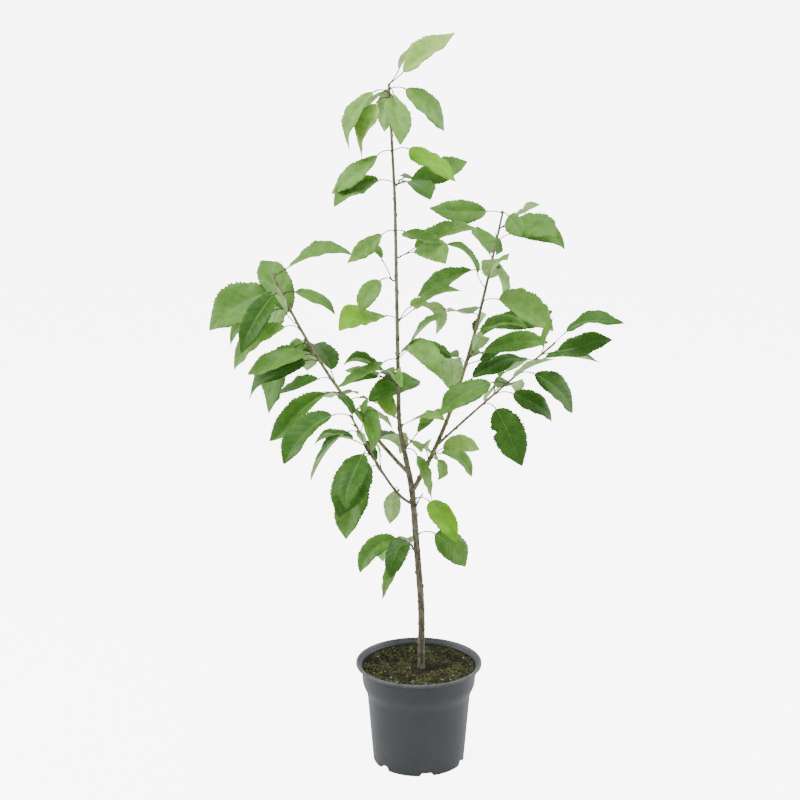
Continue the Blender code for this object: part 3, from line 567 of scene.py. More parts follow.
def limb_skin(line, shares, radii, sides, nodes, seed):
    """Rings round a line, whose radii change with furrows, each a wave that winds slowly
    round, with cross marks and with a knob at each node, given as (length up the line, angle
    round it). Also gives how much of a scar each point is."""
    points, along, across, other = frames_at(line, shares)
    angle = angles(sides)
    length = shares * line_length(line)
    chance = np.random.default_rng(seed)
    furrows = np.zeros((len(shares), sides))
    for waves in FURROW_WAVES:
        start = chance.uniform(0.0, math.tau)
        phase = start + length[:, None] * chance.uniform(-FURROW_WINDING, FURROW_WINDING)
        furrows += FURROW_DEPTH * np.cos(waves * angle[None, :] + phase)
    count = int(CROSS_MARKS_PER_METRE * (length[-1] - length[0]))
    marks = np.stack([
        chance.uniform(length[0], length[-1], count), chance.uniform(0.0, math.tau, count)], -1)
    scar = bump_field(length, angle, np.reshape(nodes, (-1, 2)), NODE_REACH)
    radius = radii[:, None] * (1.0 + furrows + NODE_SIZE * np.minimum(scar, 1.2))
    radius += CROSS_MARK_SIZE * bump_field(length, angle, marks, CROSS_MARK_REACH)
    ring = rings_round(across, other, sides)
    skin = (points[:, None] + ring * radius[..., None]).reshape(-1, 3)
    ends = np.stack([points[0], points[-1] + along[-1] * 0.3 * radii[-1]])
    scars = np.r_[np.minimum(scar, 1.0).ravel(), 0.0, 0.0]
    return np.vstack([skin, ends]), closed_faces(len(shares), sides), scars


def even_nodes(start, end):
    """Nodes from one length to another, each turned two fifths of the way round."""
    count = int((end - start) / NODE_STEP)
    k = np.arange(count)
    return np.stack([start + (k + 0.6) * NODE_STEP, (k * NODE_TURN) % math.tau], -1)


def add_scars(obj, scars):
    attribute = obj.data.attributes.new("scar", "FLOAT", "POINT")
    attribute.data.foreach_set("value", scars)


def streaks(tree, dark, middle, pale):
    """Mottled long streaks of three browns."""
    return ramp(
        tree, noise(tree, 230.0, 5.0, (1.0, 1.0, 0.30)), (0.34, dark), (0.50, middle), (0.70, pale))


def bark_material(name, old_browns, young_browns, old_to_young, scar_colour):
    """Bark in streaks of the old wood's browns, that turn into the young wood's between two
    heights, with pale flecks across and darker node scars."""
    made, tree, shader = plain_material(name, young_browns[1], 0.72, 0.25)
    grown = ramp(tree, height_of(tree), (old_to_young[0], BLACK), (old_to_young[1], WHITE))
    browns = mix(tree, grown, streaks(tree, *old_browns), streaks(tree, *young_browns))
    flecks = ramp(tree, noise(tree, 420.0, 2.0, (1.0, 1.0, 2.4)), (0.66, BLACK), (0.74, WHITE))
    pale = young_browns[2]
    fleck = ramp(tree, noise(tree, 50.0), (0.3, pale), (0.7, shade(pale, 1.25)))
    marked = mix(tree, flecks, browns, fleck)
    scar = tree.nodes.new("ShaderNodeAttribute")
    scar.attribute_name = "scar"
    scarred = ramp(tree, scar.outputs["Fac"], (0.30, BLACK), (0.85, WHITE))
    old = ramp(tree, noise(tree, 600.0), (0.3, scar_colour), (0.7, shade(scar_colour, 1.5)))
    tree.links.new(mix(tree, scarred, marked, old), shader.inputs["Base Color"])
    bump(tree, shader, noise(tree, 500.0, 5.0, (1.0, 1.0, 0.3)), 0.0005)
    return made


OLD_BROWNS = (0.072, 0.063, 0.045), (0.155, 0.138, 0.096), (0.255, 0.235, 0.170)
YOUNG_BROWNS = (0.130, 0.118, 0.066), (0.235, 0.222, 0.126), (0.320, 0.305, 0.190)

trunk_bark = bark_material(
    "trunk_wood_bark", OLD_BROWNS, YOUNG_BROWNS, (0.50, 0.75), (0.042, 0.030, 0.022))
bough_bark = bark_material(
    "bough_wood_bark", OLD_BROWNS, YOUNG_BROWNS, (0.42, 0.58), (0.070, 0.050, 0.035))

trunk_line = trunk_axis()
trunk_shares = np.linspace(0.0, TRUNK_ENDS_AT, int(line_length(trunk_line) / ROW_STEP))
trunk_nodes = even_nodes(0.030, TRUNK_ENDS_AT * line_length(trunk_line))
points, faces, scars = limb_skin(
    trunk_line, trunk_shares, trunk_radius(trunk_line, trunk_shares), 24, trunk_nodes, 21)
points[points[:, 2] < TRUNK_FOOT[2] + ROW_STEP, 2] -= TRUNK_SUNK
trunk = new_object("trunk_wood", trunk_bark, points, faces)
add_scars(trunk, scars)
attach(trunk, "root")
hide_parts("trunk")

lines = {"trunk": trunk_line}
trunk_node_radii = trunk_radius(trunk_line, trunk_nodes[:, 0] / line_length(trunk_line))
bud_places = [(trunk_line, trunk_nodes, trunk_node_radii)]
for i, (name, bough, parent) in enumerate((
        ("bough_left", BOUGH_LEFT, "trunk"), ("bough_left_low", BOUGH_LEFT_LOW, "trunk"),
        ("bough_right", BOUGH_RIGHT, "trunk"), ("bough_right_side", BOUGH_RIGHT_SIDE, "bough_right"),
        ("stub_twig", STUB, "trunk"))):
    foot = bough.foot if parent != "trunk" else share_at_height(trunk_line, bough.foot)
    line = limb_axis(points_at(lines[parent], foot), bough)
    lines[name] = line
    end = bough.bare * bough.length
    shares = np.linspace(0.0, bough.bare, int(end / ROW_STEP))
    nodes = even_nodes(0.010, end)
    bud_places.append((line, nodes, bough_radius(bough, nodes[:, 0] / bough.length)))
    points, faces, scars = limb_skin(line, shares, bough_radius(bough, shares), 18, nodes, 31 + i)
    wood = new_object(name + "_wood", bough_bark, points, faces)
    add_scars(wood, scars)
    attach(wood, "root")
    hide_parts(name)

# Leaves
# Long sweet cherry leaves on thin arched stalks, folded along the midrib, toothed, and mostly
# drooping. They stand on leafy shoots and short spurs, each where the seeded rule grows it.
GAP = 0.0003
Form = namedtuple("Form", "stalk launch droop aside fold width")
PLAIN = Form(0.030, 32, 24, 0, 20, 0.34)
ARCHED = Form(0.032, 48, 60, 0, 22, 0.33)
HOOKED = Form(0.036, 64, 95, 0, 26, 0.32)
RAISED = Form(0.026, 18, -20, 0, 20, 0.34)
CLOSED = Form(0.030, 40, 40, 0, 50, 0.32)
BROAD = Form(0.028, 32, 26, 0, 12, 0.42)
SLIM = Form(0.030, 32, 26, 0, 28, 0.26)
BENT_LEFT = Form(0.030, 32, 34, 45, 20, 0.34)
BENT_RIGHT = Form(0.030, 32, 34, -45, 20, 0.34)
LEAF_FORMS = (
    PLAIN, PLAIN, ARCHED, ARCHED, HOOKED, RAISED, RAISED, CLOSED, BROAD, BROAD, SLIM,
    BENT_LEFT, BENT_RIGHT)
STALK_SPREAD = 0.10
ANGLE_SPREAD = 6.0
LENGTH_SPREAD = 0.10
SLANT_SPREAD = 5.0
TOWARD_SPREAD = 20.0
WANDER = 7.0
TRIES = 8
FACE_TURN = 32.0
FACE_SPREAD = 25.0
DEEP_TOWARD = 52.0
FAR_TOWARD = -50.0
FAR_SLANTS = (-160.0, -20.0)
YOUNG_LENGTH = 0.045
YOUNG_SLANTS = (20.0, 160.0)
PATH_STEPS = 24
SOLID_MARKS = (0.34, 0.60, 0.83)
SOLID_NEAR = 0.0012
SISTER_SHARE = 0.45
SISTER_TURN = (40.0, 110.0)
SISTER_RISE = (-25.0, 25.0)
SISTER_LENGTH = (0.60, 0.85)
SISTER_STRAY = 0.004
SISTER_CLEAR = 0.010

# Leafy shoots and spurs as in the solids, each with the tone that most of its leaves have
Shoot = namedtuple("Shoot", "length far young seed wide deep tone")
TOP_SHOOT = Shoot(0.105, 1, 0, 1011, (35, -45, -115, -100), (-75,), "pale")
LEFT_SHOOT = Shoot(0.120, 3, 0, 1012, (
    20, -155, -150, -140, -110, -135, -150, -135, 20), (-120, 130, -160, 160, -50), "mid")
LEFT_LOW_SHOOT = Shoot(0.118, 1, 3, 1013, (-135, -120, -130, -110), (-115,), "deep")
RIGHT_SHOOT = Shoot(0.105, 2, 1, 1014, (
    175, -15, -155, -25, 15, 10, 20), (-5, 120, 65, -160, 30, 170, 100), "mid")
RIGHT_SIDE_SHOOT = Shoot(0.100, 2, 0, 515, (15, 15, -10, -50, -155, -40, -65), (30,), "deep")
Spur = namedtuple("Spur", "foot heading length far seed wide deep tone")
SPUR_LENGTH = 0.009
SPUR_RADII = (0.00145, 0.0016, 0.00135)
SPUR_BEND = 0.4
SPUR_UPTURN = 0.7
SPUR_NODE = 0.7
SPUR_RISE = 25
SPUR_RINGS = 4
SPUR_RINGING = 0.09
TRUNK_SPURS = (
    Spur(1.073, -90, 0.090, 0, 530, (-140, -35), (), "fresh"),
    Spur(1.018, -60, 0.095, 1, 331, (15, -155), (-15,), "mid"),
    Spur(0.939, 90, 0.080, 0, 1032, (-145,), (-5,), "fresh"),
    Spur(0.899, -45, 0.105, 0, 1033, (20,), (-5,), "fresh"),
    Spur(0.859, 150, 0.070, 0, 1034, (), (-130, -175), "fresh"),
    Spur(0.790, 60, 0.095, 1, 1035, (25,), (-170,), "fresh"),
    Spur(0.726, -100, 0.095, 0, 1036, (-155, 45), (-35,), "mid"),
    Spur(0.681, 120, 0.090, 1, 1037, (-160,), (30,), "fresh"),
    Spur(0.605, 70, 0.070, 0, 1038, (), (20, 135, 155), "pale"),
    Spur(0.570, -80, 0.085, 1, 1039, (30, -70), (), "fresh"),
    Spur(0.482, -60, 0.085, 0, 1040, (-70,), (), "bright"),
    Spur(0.419, -60, 0.082, 0, 141, (-50,), (), "deep"),
    Spur(0.391, -120, 0.090, 1, 742, (-130, -110), (-120,), "deep"),
)
LEFT_LOW_SPUR = Spur(0.22, -60, 0.060, 0, 1051, (-95,), (), "mid")
RIGHT_SPUR = Spur(0.12, 80, 0.075, 0, 1052, (-10,), (-15, -40), "fresh")


def draw(chance, middle, spread):
    return chance.uniform(middle - spread, middle + spread)


def aim(slant, toward):
    """Heading and rise of a slant in the front view that also leans to the front."""
    s, t = math.radians(slant), math.radians(toward)
    x, z = math.cos(t) * math.cos(s), math.cos(t) * math.sin(s)
    return math.degrees(math.atan2(-math.sin(t), x)), math.degrees(math.asin(z))


def draw_leaf(chance, slant, toward, length, attempt):
    """A leaf's seeded sizes. Each new attempt may wander further from the planned aim."""
    form = chance.choice(LEAF_FORMS)
    wander = WANDER * attempt
    slant = draw(chance, slant, SLANT_SPREAD + wander)
    heading, rise = aim(slant, draw(chance, toward, TOWARD_SPREAD + wander))
    return {
        "heading": heading,
        "rise": rise,
        "length": length * draw(chance, 1.0, LENGTH_SPREAD),
        "stalk": form.stalk * draw(chance, 1.0, STALK_SPREAD),
        "launch": draw(chance, form.launch, ANGLE_SPREAD),
        "droop": draw(chance, form.droop, ANGLE_SPREAD),
        "aside": draw(chance, form.aside, ANGLE_SPREAD),
        "fold": math.radians(draw(chance, form.fold, ANGLE_SPREAD)),
        "roll": math.radians(draw(
            chance, FACE_TURN * math.cos(math.radians(heading)), FACE_SPREAD)),
        "width": form.width,
    }


def leaf_path(node, leaf, steps=PATH_STEPS):
    """The stalk arches from its launch, then the blade bends down past its rise. Gives the
    points, headings and rises of both, with the blade's foot in the middle."""
    share = (np.arange(steps) + 0.5) / steps
    start = leaf["rise"] + leaf["droop"] / 2
    heading = leaf["heading"] + np.r_[0.0 * share, leaf["aside"] * share]
    rise = np.r_[
        leaf["launch"] + (start - leaf["launch"]) * share, start - leaf["droop"] * share]
    step = np.repeat([leaf["stalk"] / steps, leaf["length"] / steps], steps)
    points = np.vstack([node, node + np.cumsum(way(heading, rise) * step[:, None], 0)])
    return points, np.r_[heading[0], heading], np.r_[rise[0], rise]


def solid_tree(name):
    """A search tree of a solid's surface."""
    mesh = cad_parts[name].data
    corners = [vertex.co for vertex in mesh.vertices]
    return BVHTree.FromPolygons(corners, [tuple(face.vertices) for face in mesh.polygons])


def stands(solid, node, leaf):
    """True where the solid has this very leaf: its midline runs inside the solid's blade."""
    points = leaf_path(node, leaf)[0][PATH_STEPS:]
    marks = [points[round(share * PATH_STEPS)] for share in SOLID_MARKS]
    return all(solid.find_nearest(Vector(mark), SOLID_NEAR)[0] is not None for mark in marks)


def inside(points, low, high):
    """True where every point lies within a box widened by SISTER_STRAY."""
    over, under = points - np.array(low), np.array(high) - points
    return min(over.min(), under.min()) > -SISTER_STRAY


def sisters(name, grown, chance):
    """A second, smaller leaf from some of a mass's nodes, turned away from the first. It keeps
    within the box of the mass's solid and clear of the bare wood."""
    low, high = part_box(name)
    added = []
    for node, leaf in grown:
        if chance.random() > SISTER_SHARE:
            continue
        turn = chance.choice((-1, 1)) * chance.uniform(*SISTER_TURN)
        sister = dict(
            leaf, heading=leaf["heading"] + turn, rise=leaf["rise"] + chance.uniform(*SISTER_RISE),
            length=leaf["length"] * chance.uniform(*SISTER_LENGTH), roll=-leaf["roll"])
        points = leaf_path(node, sister)[0][PATH_STEPS:]
        clear = all(wood.find_nearest(Vector(point), SISTER_CLEAR)[0] is None
                    for wood in bare_wood for point in points)
        if clear and inside(points, low, high):
            added.append((node, sister))
    return added


def grow_mass(name, plan, chance):
    """The leaves of a mass: each takes the first aim at which the mass's solid has it."""
    solid = solid_tree(name)
    grown = []
    for node, slant, toward, length in plan:
        for attempt in range(TRIES):
            leaf = draw_leaf(chance, slant, toward, length, attempt)
            if stands(solid, node, leaf):
                grown.append((node, leaf))
                break
    return grown


def deal_kinds(chance, mass):
    """Slant, lean to the front and length of a mass's leaves, in their kinds."""
    wide = [(slant, 0.0, mass.length) for slant in mass.wide]
    deep = [
        (slant, DEEP_TOWARD * (-1) ** i, mass.length) for i, slant in enumerate(mass.deep)]
    far = [(chance.uniform(*FAR_SLANTS), FAR_TOWARD, mass.length) for i in range(mass.far)]
    return wide, deep, far


def shoot_plan(chance, line, start, shoot):
    """Node and aim of each leaf. Each kind is dealt evenly along the shoot, tip first."""
    wide, deep, far = deal_kinds(chance, shoot)
    young = [(chance.uniform(*YOUNG_SLANTS), 0.0, YOUNG_LENGTH) for i in range(shoot.young)]
    plan = []
    for kind, first in ((wide, 0.05), (deep, 0.60), (far, 0.50), (young, 0.75)):
        for i, leaf in enumerate(kind):
            share = 1.0 - (1.0 - start) * (i + first) / len(kind)
            plan.append((points_at(line, share), *leaf))
    return plan


def spur_line(line, share, radius, spur):
    """Root, bend and end of a spur that stands off its limb and turns up along it."""
    along = unit(points_at(line, share + 0.01) - points_at(line, share - 0.01))
    out = way(spur.heading, SPUR_RISE)
    out = unit(out - along * (out @ along))
    root = points_at(line, share) + out * (radius + GAP)
    bend = root + out * (SPUR_BEND * SPUR_LENGTH)
    end = bend + unit(out + along * SPUR_UPTURN) * ((1.0 - SPUR_BEND) * SPUR_LENGTH)
    return np.stack([root, bend, end])


def joined(name, material, skins):
    """One object of many skins, each a point array and a face array of its own."""
    starts = np.cumsum([0] + [len(points) for points, faces in skins[:-1]])
    return new_object(
        name, material, np.vstack([points for points, faces in skins]),
        np.vstack([faces + start for (points, faces), start in zip(skins, starts)]))


def leaf_nodes(line, leaves):
    """Length up the line and angle round it at which each leaf's stalk comes out."""
    nodes = []
    for node, leaf in leaves:
        places = points_at(line, np.linspace(0.0, 1.0, 801))
        share = np.linalg.norm(places - node, axis=1).argmin() / 800
        out = way(leaf["heading"], leaf["launch"])
        _, _, across, other = frames_at(line, share)
        nodes.append((share * line_length(line), math.atan2(out @ other, out @ across)))
    return np.reshape(nodes, (-1, 2))


bare_wood = [solid_tree(name) for name in (
    "trunk", "bough_left", "bough_left_low", "bough_right", "bough_right_side")]
sister_chance = random.Random(8)
masses = []
twig_skins = []
tip_places = []
leader = BOUGH_LEFT._replace(
    length=line_length(trunk_line), thick=TRUNK_TAPER[0][1], thin=TRUNK_TAPER[-1][1],
    bare=TRUNK_ENDS_AT)
for name, line, bough, shoot in (
        ("leaves_top", trunk_line, leader, TOP_SHOOT),
        ("leaves_left", lines["bough_left"], BOUGH_LEFT, LEFT_SHOOT),
        ("leaves_left_low", lines["bough_left_low"], BOUGH_LEFT_LOW, LEFT_LOW_SHOOT),
        ("leaves_right", lines["bough_right"], BOUGH_RIGHT, RIGHT_SHOOT),
        ("leaves_right_side", lines["bough_right_side"], BOUGH_RIGHT_SIDE, RIGHT_SIDE_SHOOT)):
    chance = random.Random(shoot.seed)
    start = bough.bare + GAP / line_length(line)
    leaves = grow_mass(name, shoot_plan(chance, line, start, shoot), chance)
    masses.append((name, shoot.tone, leaves + sisters(name, leaves, sister_chance)))
    shares = np.linspace(start, 1.0, int((1.0 - start) * bough.length / ROW_STEP))
    nodes = leaf_nodes(line, leaves)
    twig_skins.append(limb_skin(line, shares, bough_radius(bough, shares), 14, nodes, shoot.seed))
    bud_places.append((line, nodes, bough_radius(bough, nodes[:, 0] / bough.length)))
    tip_places.append((line, bough.thin))

spurs = []
for i, spur in enumerate(TRUNK_SPURS, 1):
    share = share_at_height(trunk_line, spur.foot)
    spurs.append((f"leaves_spur_{i:02d}", trunk_line, share, trunk_radius(trunk_line, share), spur))
for name, bough_name, bough, spur in (
        ("leaves_low_knob", "bough_left_low", BOUGH_LEFT_LOW, LEFT_LOW_SPUR),
        ("leaves_fork", "bough_right", BOUGH_RIGHT, RIGHT_SPUR)):
    spurs.append((name, lines[bough_name], spur.foot, bough_radius(bough, spur.foot), spur))
for name, line, share, radius, spur in spurs:
    stem = spur_line(line, share, radius, spur)
    node = stem[1] + (stem[2] - stem[1]) * SPUR_NODE
    chance = random.Random(spur.seed)
    plan = [(node, *leaf) for kind in deal_kinds(chance, spur) for leaf in kind]
    leaves = grow_mass(name, plan, chance)
    masses.append((name, spur.tone, leaves + sisters(name, leaves, sister_chance)))
    shares = np.linspace(0.0, 1.0, 18)
    radii = np.interp(shares, (0.0, 0.5, 1.0), SPUR_RADII)
    rings = 1.0 + SPUR_RINGING * np.sin(shares * SPUR_RINGS * math.tau)
    twig_skins.append(limb_skin(stem, shares, radii * rings, 10, [], spur.seed))
    tip_places.append((stem, SPUR_RADII[-1]))

twigs = joined("twigs", bough_bark, [(points, faces) for points, faces, scars in twig_skins])
add_scars(twigs, np.concatenate([scars for points, faces, scars in twig_skins]))
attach(twigs, "root")

# Buds
# A small pointed brown bud sits over each node of the wood, and a larger one ends each shoot.
BUD_SIDES = 6
BUD_SHAPE = ((0.0, 0.70), (0.18, 1.00), (0.45, 0.90), (0.75, 0.50))
BUD_LENGTH = 0.0036
BUD_RADIUS = 0.0011
TIP_BUD_SCALE = 1.5
BUD_OUT = 0.55
BUD_ABOVE = 0.0012
BUD_BROWNS = (0.050, 0.030, 0.020), (0.130, 0.085, 0.055)


def bud_skins(feet, ways, sizes):
    """Pointed ovals, all at once: rings of BUD_SHAPE's radii along each bud's way."""
    across = unit(np.cross(ways, SIDEWAYS))
    ring = rings_round(across, np.cross(ways, across), BUD_SIDES)
    share, reach = np.transpose(BUD_SHAPE)
    size = sizes[:, None, None, None]
    rings = (
        feet[:, None, None] + ways[:, None, None] * share[:, None, None] * BUD_LENGTH * size
        + ring[:, None] * reach[:, None, None] * BUD_RADIUS * size)
    ends = np.stack([feet, feet + ways * BUD_LENGTH * sizes[:, None]], 1)
    points = np.concatenate([rings.reshape(len(feet), -1, 3), ends], 1)
    starts = points.shape[1] * np.arange(len(feet))
    faces = closed_faces(len(share), BUD_SIDES)[None] + starts[:, None, None]
    return points.reshape(-1, 3), faces.reshape(-1, 3)


feet, ways, sizes = [], [], []
for line, nodes, radii in bud_places:
    for (length, angle), radius in zip(nodes, radii):
        share = min(1.0, (length + BUD_ABOVE) / line_length(line))
        point, along, across, other = frames_at(line, share)
        out = across * math.cos(angle) + other * math.sin(angle)
        feet.append(point + out * radius)
        ways.append(unit(along + out * BUD_OUT))
        sizes.append(1.0)
for line, radius in tip_places:
    point, along, _, _ = frames_at(line, 1.0)
    feet.append(point - along * radius)
    ways.append(along)
    sizes.append(TIP_BUD_SCALE)
bud_paint, tree, shader = plain_material("bud_scales", (0.085, 0.050, 0.032), 0.6)
scales = ramp(tree, noise(tree, 900.0, 3.0), (0.4, BUD_BROWNS[0]), (0.6, BUD_BROWNS[1]))
tree.links.new(scales, shader.inputs["Base Color"])
buds = new_object("buds", bud_paint, *bud_skins(np.array(feet), np.array(ways), np.array(sizes)))
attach(buds, "root")

# Blades, midribs and stalks
# Each blade is a thin toothed skin, quilted between its side veins and wavy at its edge, waxy
# green above and pale below, the underside and the bright tone lightened by painted light
# shining through. A pale midrib runs on from the thin, dull purple-brown stalk.
VEIN_PAIRS = 9
VEIN_ROWS = 8
VEIN_WIDTH = 0.006
VEIN_SWEEP = 0.80
BLADE_COLUMNS = 11
BLADE_THICKNESS = 0.0004
BLADE_END = 0.012
TOOTH_SIZE = 0.045
TOOTH_ROWS = (2, 4, 6)
TOOTH_FORWARD = 0.006
QUILT = 0.022
TIP_STARTS = 0.65
HALVES = (0.98, 1.22)
SKEW = (0.84, 1.22)
TWIST = 0.55
TIP_ASIDE = (-0.10, 0.10)
TIP_DOWN = (-0.02, 0.10)
CUP = (0.0, 0.20)
LONG_WAVES = ((0.05, 0.20), (4.0, 9.0))
SHORT_WAVES = ((0.02, 0.06), (16.0, 30.0))
BITTEN = 0.08
BITE_DEPTH = (0.08, 0.40)
BITE_REACH = (0.030, 0.070)
STALK_THICK = 0.00100
MIDRIB_THICK = (0.00065, 0.00020)
MIDRIB_ENDS = 0.93
MIDRIB_SIDES = 5
TONES = {
    "deep": (0.048, 0.145, 0.014),
    "mid": (0.112, 0.270, 0.040),
    "fresh": (0.175, 0.370, 0.066),
    "pale": (0.300, 0.520, 0.105),
    # The bright tone is a yellow-green lit up by painted light shining through the leaf.
    "bright": (0.170, 0.430, 0.012),
}
NEXT_TONES = {
    "deep": ("mid",), "mid": ("deep", "fresh"), "fresh": ("mid", "pale", "bright"),
    "pale": ("fresh",), "bright": ("fresh", "mid")}
TONE_KEPT = 0.66
# The underside's own pale green, made lighter still by painted light shining through the leaf.
UNDERSIDE_AND_GLOW = (0.430, 0.690, 0.230)
MIDRIB_GREEN = (0.300, 0.450, 0.160)
STALK_BROWN = (0.095, 0.085, 0.062)


def half_width(share):
    """Half the blade's width over its longest: rounded foot, drawn-out tip."""
    late = np.clip((share - 0.72) / 0.28, 0.0, 1.0)
    drawn = 1.0 - 0.35 * late * late * (3.0 - 2.0 * late)
    return 1.62 * share ** 0.58 * (1.0 - share) ** 0.72 * drawn


def leaf_axes(heading, rise, roll):
    """Across and up of a leaf that heads one way and is rolled about its midline."""
    h, r = np.radians(heading), np.asarray(roll)[..., None]
    across = np.stack([-np.sin(h), np.cos(h), np.zeros_like(h)], -1)
    up = np.cross(way(heading, rise), across)
    return across * np.cos(r) + up * np.sin(r), up * np.cos(r) - across * np.sin(r)


def blade_stations():
    """Shares along the midrib: a narrow step at each side vein, then even steps to the next."""
    step = 1.0 / VEIN_PAIRS
    after = VEIN_WIDTH + (step - VEIN_WIDTH) * np.arange(VEIN_ROWS - 1) / (VEIN_ROWS - 1)
    return np.r_[(step * np.arange(VEIN_PAIRS)[:, None] + np.r_[0.0, after]).ravel(), 1.0]


def edge_wave(chance, side, share, sizes_and_rates):
    """A sine along the share, of a seeded size, rate and start on each side of the blade."""
    sizes, rates = sizes_and_rates
    start = chance.uniform(0.0, math.tau, 2)[side]
    return chance.uniform(*sizes, 2)[side] * np.sin(share * chance.uniform(*rates, 2)[side] + start)


def bitten(chance, side, share):
    """What is left of each half's width: 1, less a bell-shaped bite where one was taken."""
    place, reach = chance.uniform(0.25, 0.95, 2)[side], chance.uniform(*BITE_REACH, 2)[side]
    depth = chance.uniform(*BITE_DEPTH, 2)[side] * (chance.random(2) < BITTEN)[side]
    return 1.0 - depth * np.exp(-((share - place) / reach) ** 2)


def blade_middle(node, leaf, chance):
    """The blade's middle surface over u, along the midrib, and v, from edge to edge.
    A row of one u runs out along a side vein: its share of the midline grows with abs(v).
    From the midline a point goes out by its half's width, with teeth, and is lifted by the
    fold, two waves that grow as v squared, and a quilting that is 0 at the veins. The blade
    twists evenly along its length, and its tip bends as the square of its share of the tip."""
    u, v = np.meshgrid(blade_stations(), np.linspace(-1.0, 1.0, BLADE_COLUMNS), indexing="ij")
    out_share, side = np.abs(v), (v > 0).astype(int)
    row = np.arange(len(u))[:, None]
    teeth = chance.uniform(0.4, 1.5, (len(u), 2))[row, side]
    parity = np.where(np.isin(row % VEIN_ROWS, TOOTH_ROWS), 1.0, -1.0) * out_share ** 8
    share = u + (VEIN_SWEEP * out_share + TOOTH_FORWARD * parity) * u * (1.0 - u)
    path, headings, rises = leaf_path(node, leaf)
    steps = np.linspace(0.0, 1.0, PATH_STEPS + 1)
    point = np.stack([np.interp(share, steps, path[PATH_STEPS:, k]) for k in range(3)], -1)
    heading = np.interp(share, steps, headings[PATH_STEPS:])
    rise = np.interp(share, steps, rises[PATH_STEPS:])
    twist = chance.uniform(-TWIST, TWIST) * (share - 0.3)
    across, up = leaf_axes(heading, rise, leaf["roll"] + twist)
    form = np.maximum(half_width(share ** chance.uniform(*SKEW)), BLADE_END)
    width = form * leaf["width"] * leaf["length"] * chance.uniform(*HALVES, 2)[side]
    late = np.clip((share - TIP_STARTS) / (1.0 - TIP_STARTS), 0.0, 1.0)
    out = width * v * (1.0 + TOOTH_SIZE * teeth * parity) * bitten(chance, side, share)
    wave = width * out_share ** 2 * (
        edge_wave(chance, side, share, LONG_WAVES) + edge_wave(chance, side, share, SHORT_WAVES))
    cup = -width * out_share ** 3 * chance.uniform(*CUP)
    swell = np.sin(u * VEIN_PAIRS * math.pi) ** 2 * out_share ** 0.5 * (1.0 - out_share ** 4)
    fold = leaf["fold"] * (1.15 - 0.45 * late)
    lift = np.abs(out) * np.sin(fold) + wave + cup + QUILT * width * swell
    tip_aside, tip_down = chance.uniform(*TIP_ASIDE), chance.uniform(*TIP_DOWN)
    aside = out * np.cos(fold) + tip_aside * leaf["length"] * late ** 2
    lift = lift - tip_down * leaf["length"] * late ** 2
    return point + across * aside[..., None] + up * lift[..., None], up


def blade_skin(middle, up):
    """Upper and lower grid, half the thickness off the middle, and the rim between them."""
    rows, columns = middle.shape[:2]
    count = rows * columns
    half = 0.5 * BLADE_THICKNESS * up
    points = np.vstack([(middle + half).reshape(-1, 3), (middle - half).reshape(-1, 3)])
    lower = grid_faces(rows, columns) + count
    upper = lower[:, ::-1] - count
    rim = np.r_[
        np.arange(rows) * columns, (rows - 1) * columns + np.arange(1, columns),
        np.arange(rows - 2, -1, -1) * columns + columns - 1, np.arange(columns - 2, 0, -1)]
    after = np.roll(rim, -1)
    edge = np.vstack([
        np.stack([rim, rim + count, after + count], -1), np.stack([rim, after + count, after], -1)])
    strip = np.arange(len(upper)) // (2 * (columns - 1))
    on_vein = (strip % VEIN_ROWS == 0) & (strip > 0)
    slots = np.r_[np.where(on_vein, 1, 0), np.full(len(lower) + len(edge), 2)]
    return points, np.vstack([upper, lower, edge]), slots


def thread_skin(points, headings, rises, radii, sides=6):
    """A thin round thread along a leaf's midline."""
    across, up = leaf_axes(headings, rises, 0.0)
    ring = rings_round(across, up, sides)
    skin = (points[:, None] + ring * radii[:, None, None]).reshape(-1, 3)
    return np.vstack([skin, points[:1], points[-1:]]), closed_faces(len(points), sides)


def stalk_radii():
    """Even, with a widened foot and two small glands just short of the blade."""
    share = np.linspace(0.0, 1.0, PATH_STEPS + 1)
    foot = 0.6 * np.exp(-share / 0.05)
    glands = 0.5 * np.exp(-((share - 0.91) / 0.03) ** 2)
    return STALK_THICK * (1.0 + foot + glands)


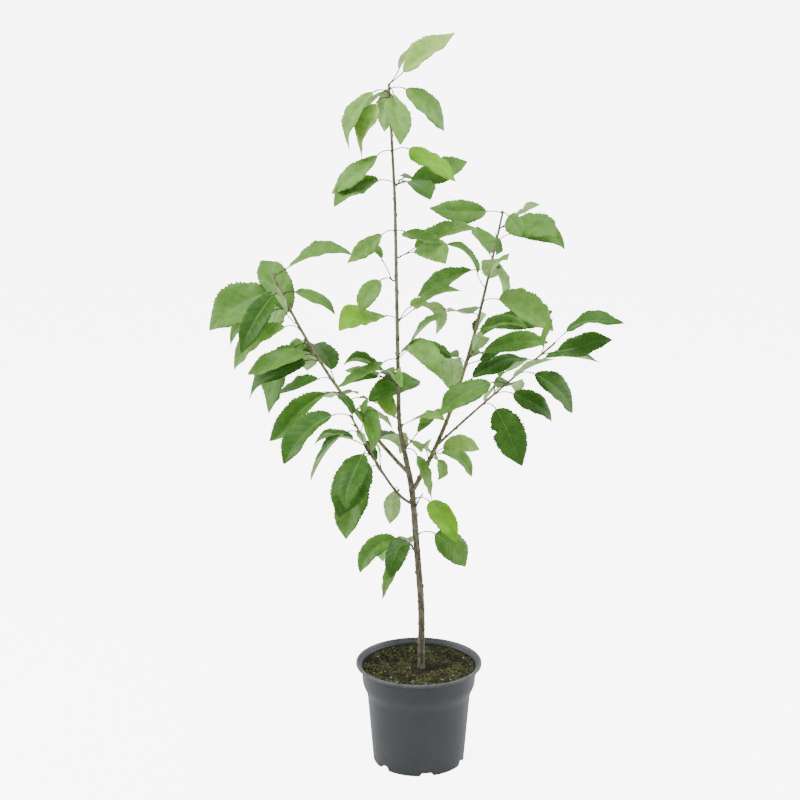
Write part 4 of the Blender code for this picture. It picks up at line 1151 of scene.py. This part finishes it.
def leaf_material(name, colour):
    """Waxy skin with faint cloudy mottling round its colour."""
    made, tree, shader = plain_material(name, colour, 0.45, 0.20)
    clouds = ramp(
        tree, noise(tree, 70.0, 4.0), (0.35, shade(colour, 0.82)), (0.65, shade(colour, 1.16)))
    tree.links.new(clouds, shader.inputs["Base Color"])
    bump(tree, shader, noise(tree, 900.0, 3.0), 0.0001)
    return made


def lighter(colour):
    return tuple(c + 0.14 * (target - c) for c, target in zip(colour, MIDRIB_GREEN))


underside_and_glow_paint = leaf_material("leaf_underside_and_glow", UNDERSIDE_AND_GLOW)
deal = random.Random(5)
finish = np.random.default_rng(6)
blades = {tone: [] for tone in TONES}
midribs, stalks = [], []
u = blade_stations()
kept = u < MIDRIB_ENDS
steps = np.linspace(0.0, 1.0, PATH_STEPS + 1)
for name, tone, leaves in masses:
    for node, leaf in leaves:
        own_tone = tone if deal.random() < TONE_KEPT else deal.choice(NEXT_TONES[tone])
        middle, up = blade_middle(node, leaf, finish)
        blades[own_tone].append(blade_skin(middle, up))
        path, headings, rises = leaf_path(node, leaf)
        head = PATH_STEPS + 1
        stalks.append(thread_skin(path[:head], headings[:head], rises[:head], stalk_radii()))
        midribs.append(thread_skin(
            middle[kept, BLADE_COLUMNS // 2], np.interp(u[kept], steps, headings[PATH_STEPS:]),
            np.interp(u[kept], steps, rises[PATH_STEPS:]),
            np.interp(u[kept], (0.0, 1.0), MIDRIB_THICK), MIDRIB_SIDES))

for tone, colour in TONES.items():
    skins = [(points, faces) for points, faces, slots in blades[tone]]
    piece = joined(f"blades_{tone}", leaf_material(f"leaf_{tone}", colour), skins)
    piece.data.materials.append(leaf_material(f"leaf_{tone}_veins", lighter(colour)))
    piece.data.materials.append(underside_and_glow_paint)
    piece.data.polygons.foreach_set(
        "material_index", np.concatenate([slots for points, faces, slots in blades[tone]]))
    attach(piece, "root")
    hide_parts(*[name for name, mass_tone, leaves in masses if mass_tone == tone])

for name, skins, colour in (
        ("leaf_stalks", stalks, STALK_BROWN), ("leaf_midribs", midribs, MIDRIB_GREEN)):
    piece = joined(name, leaf_material(name, colour), skins)
    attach(piece, "root")
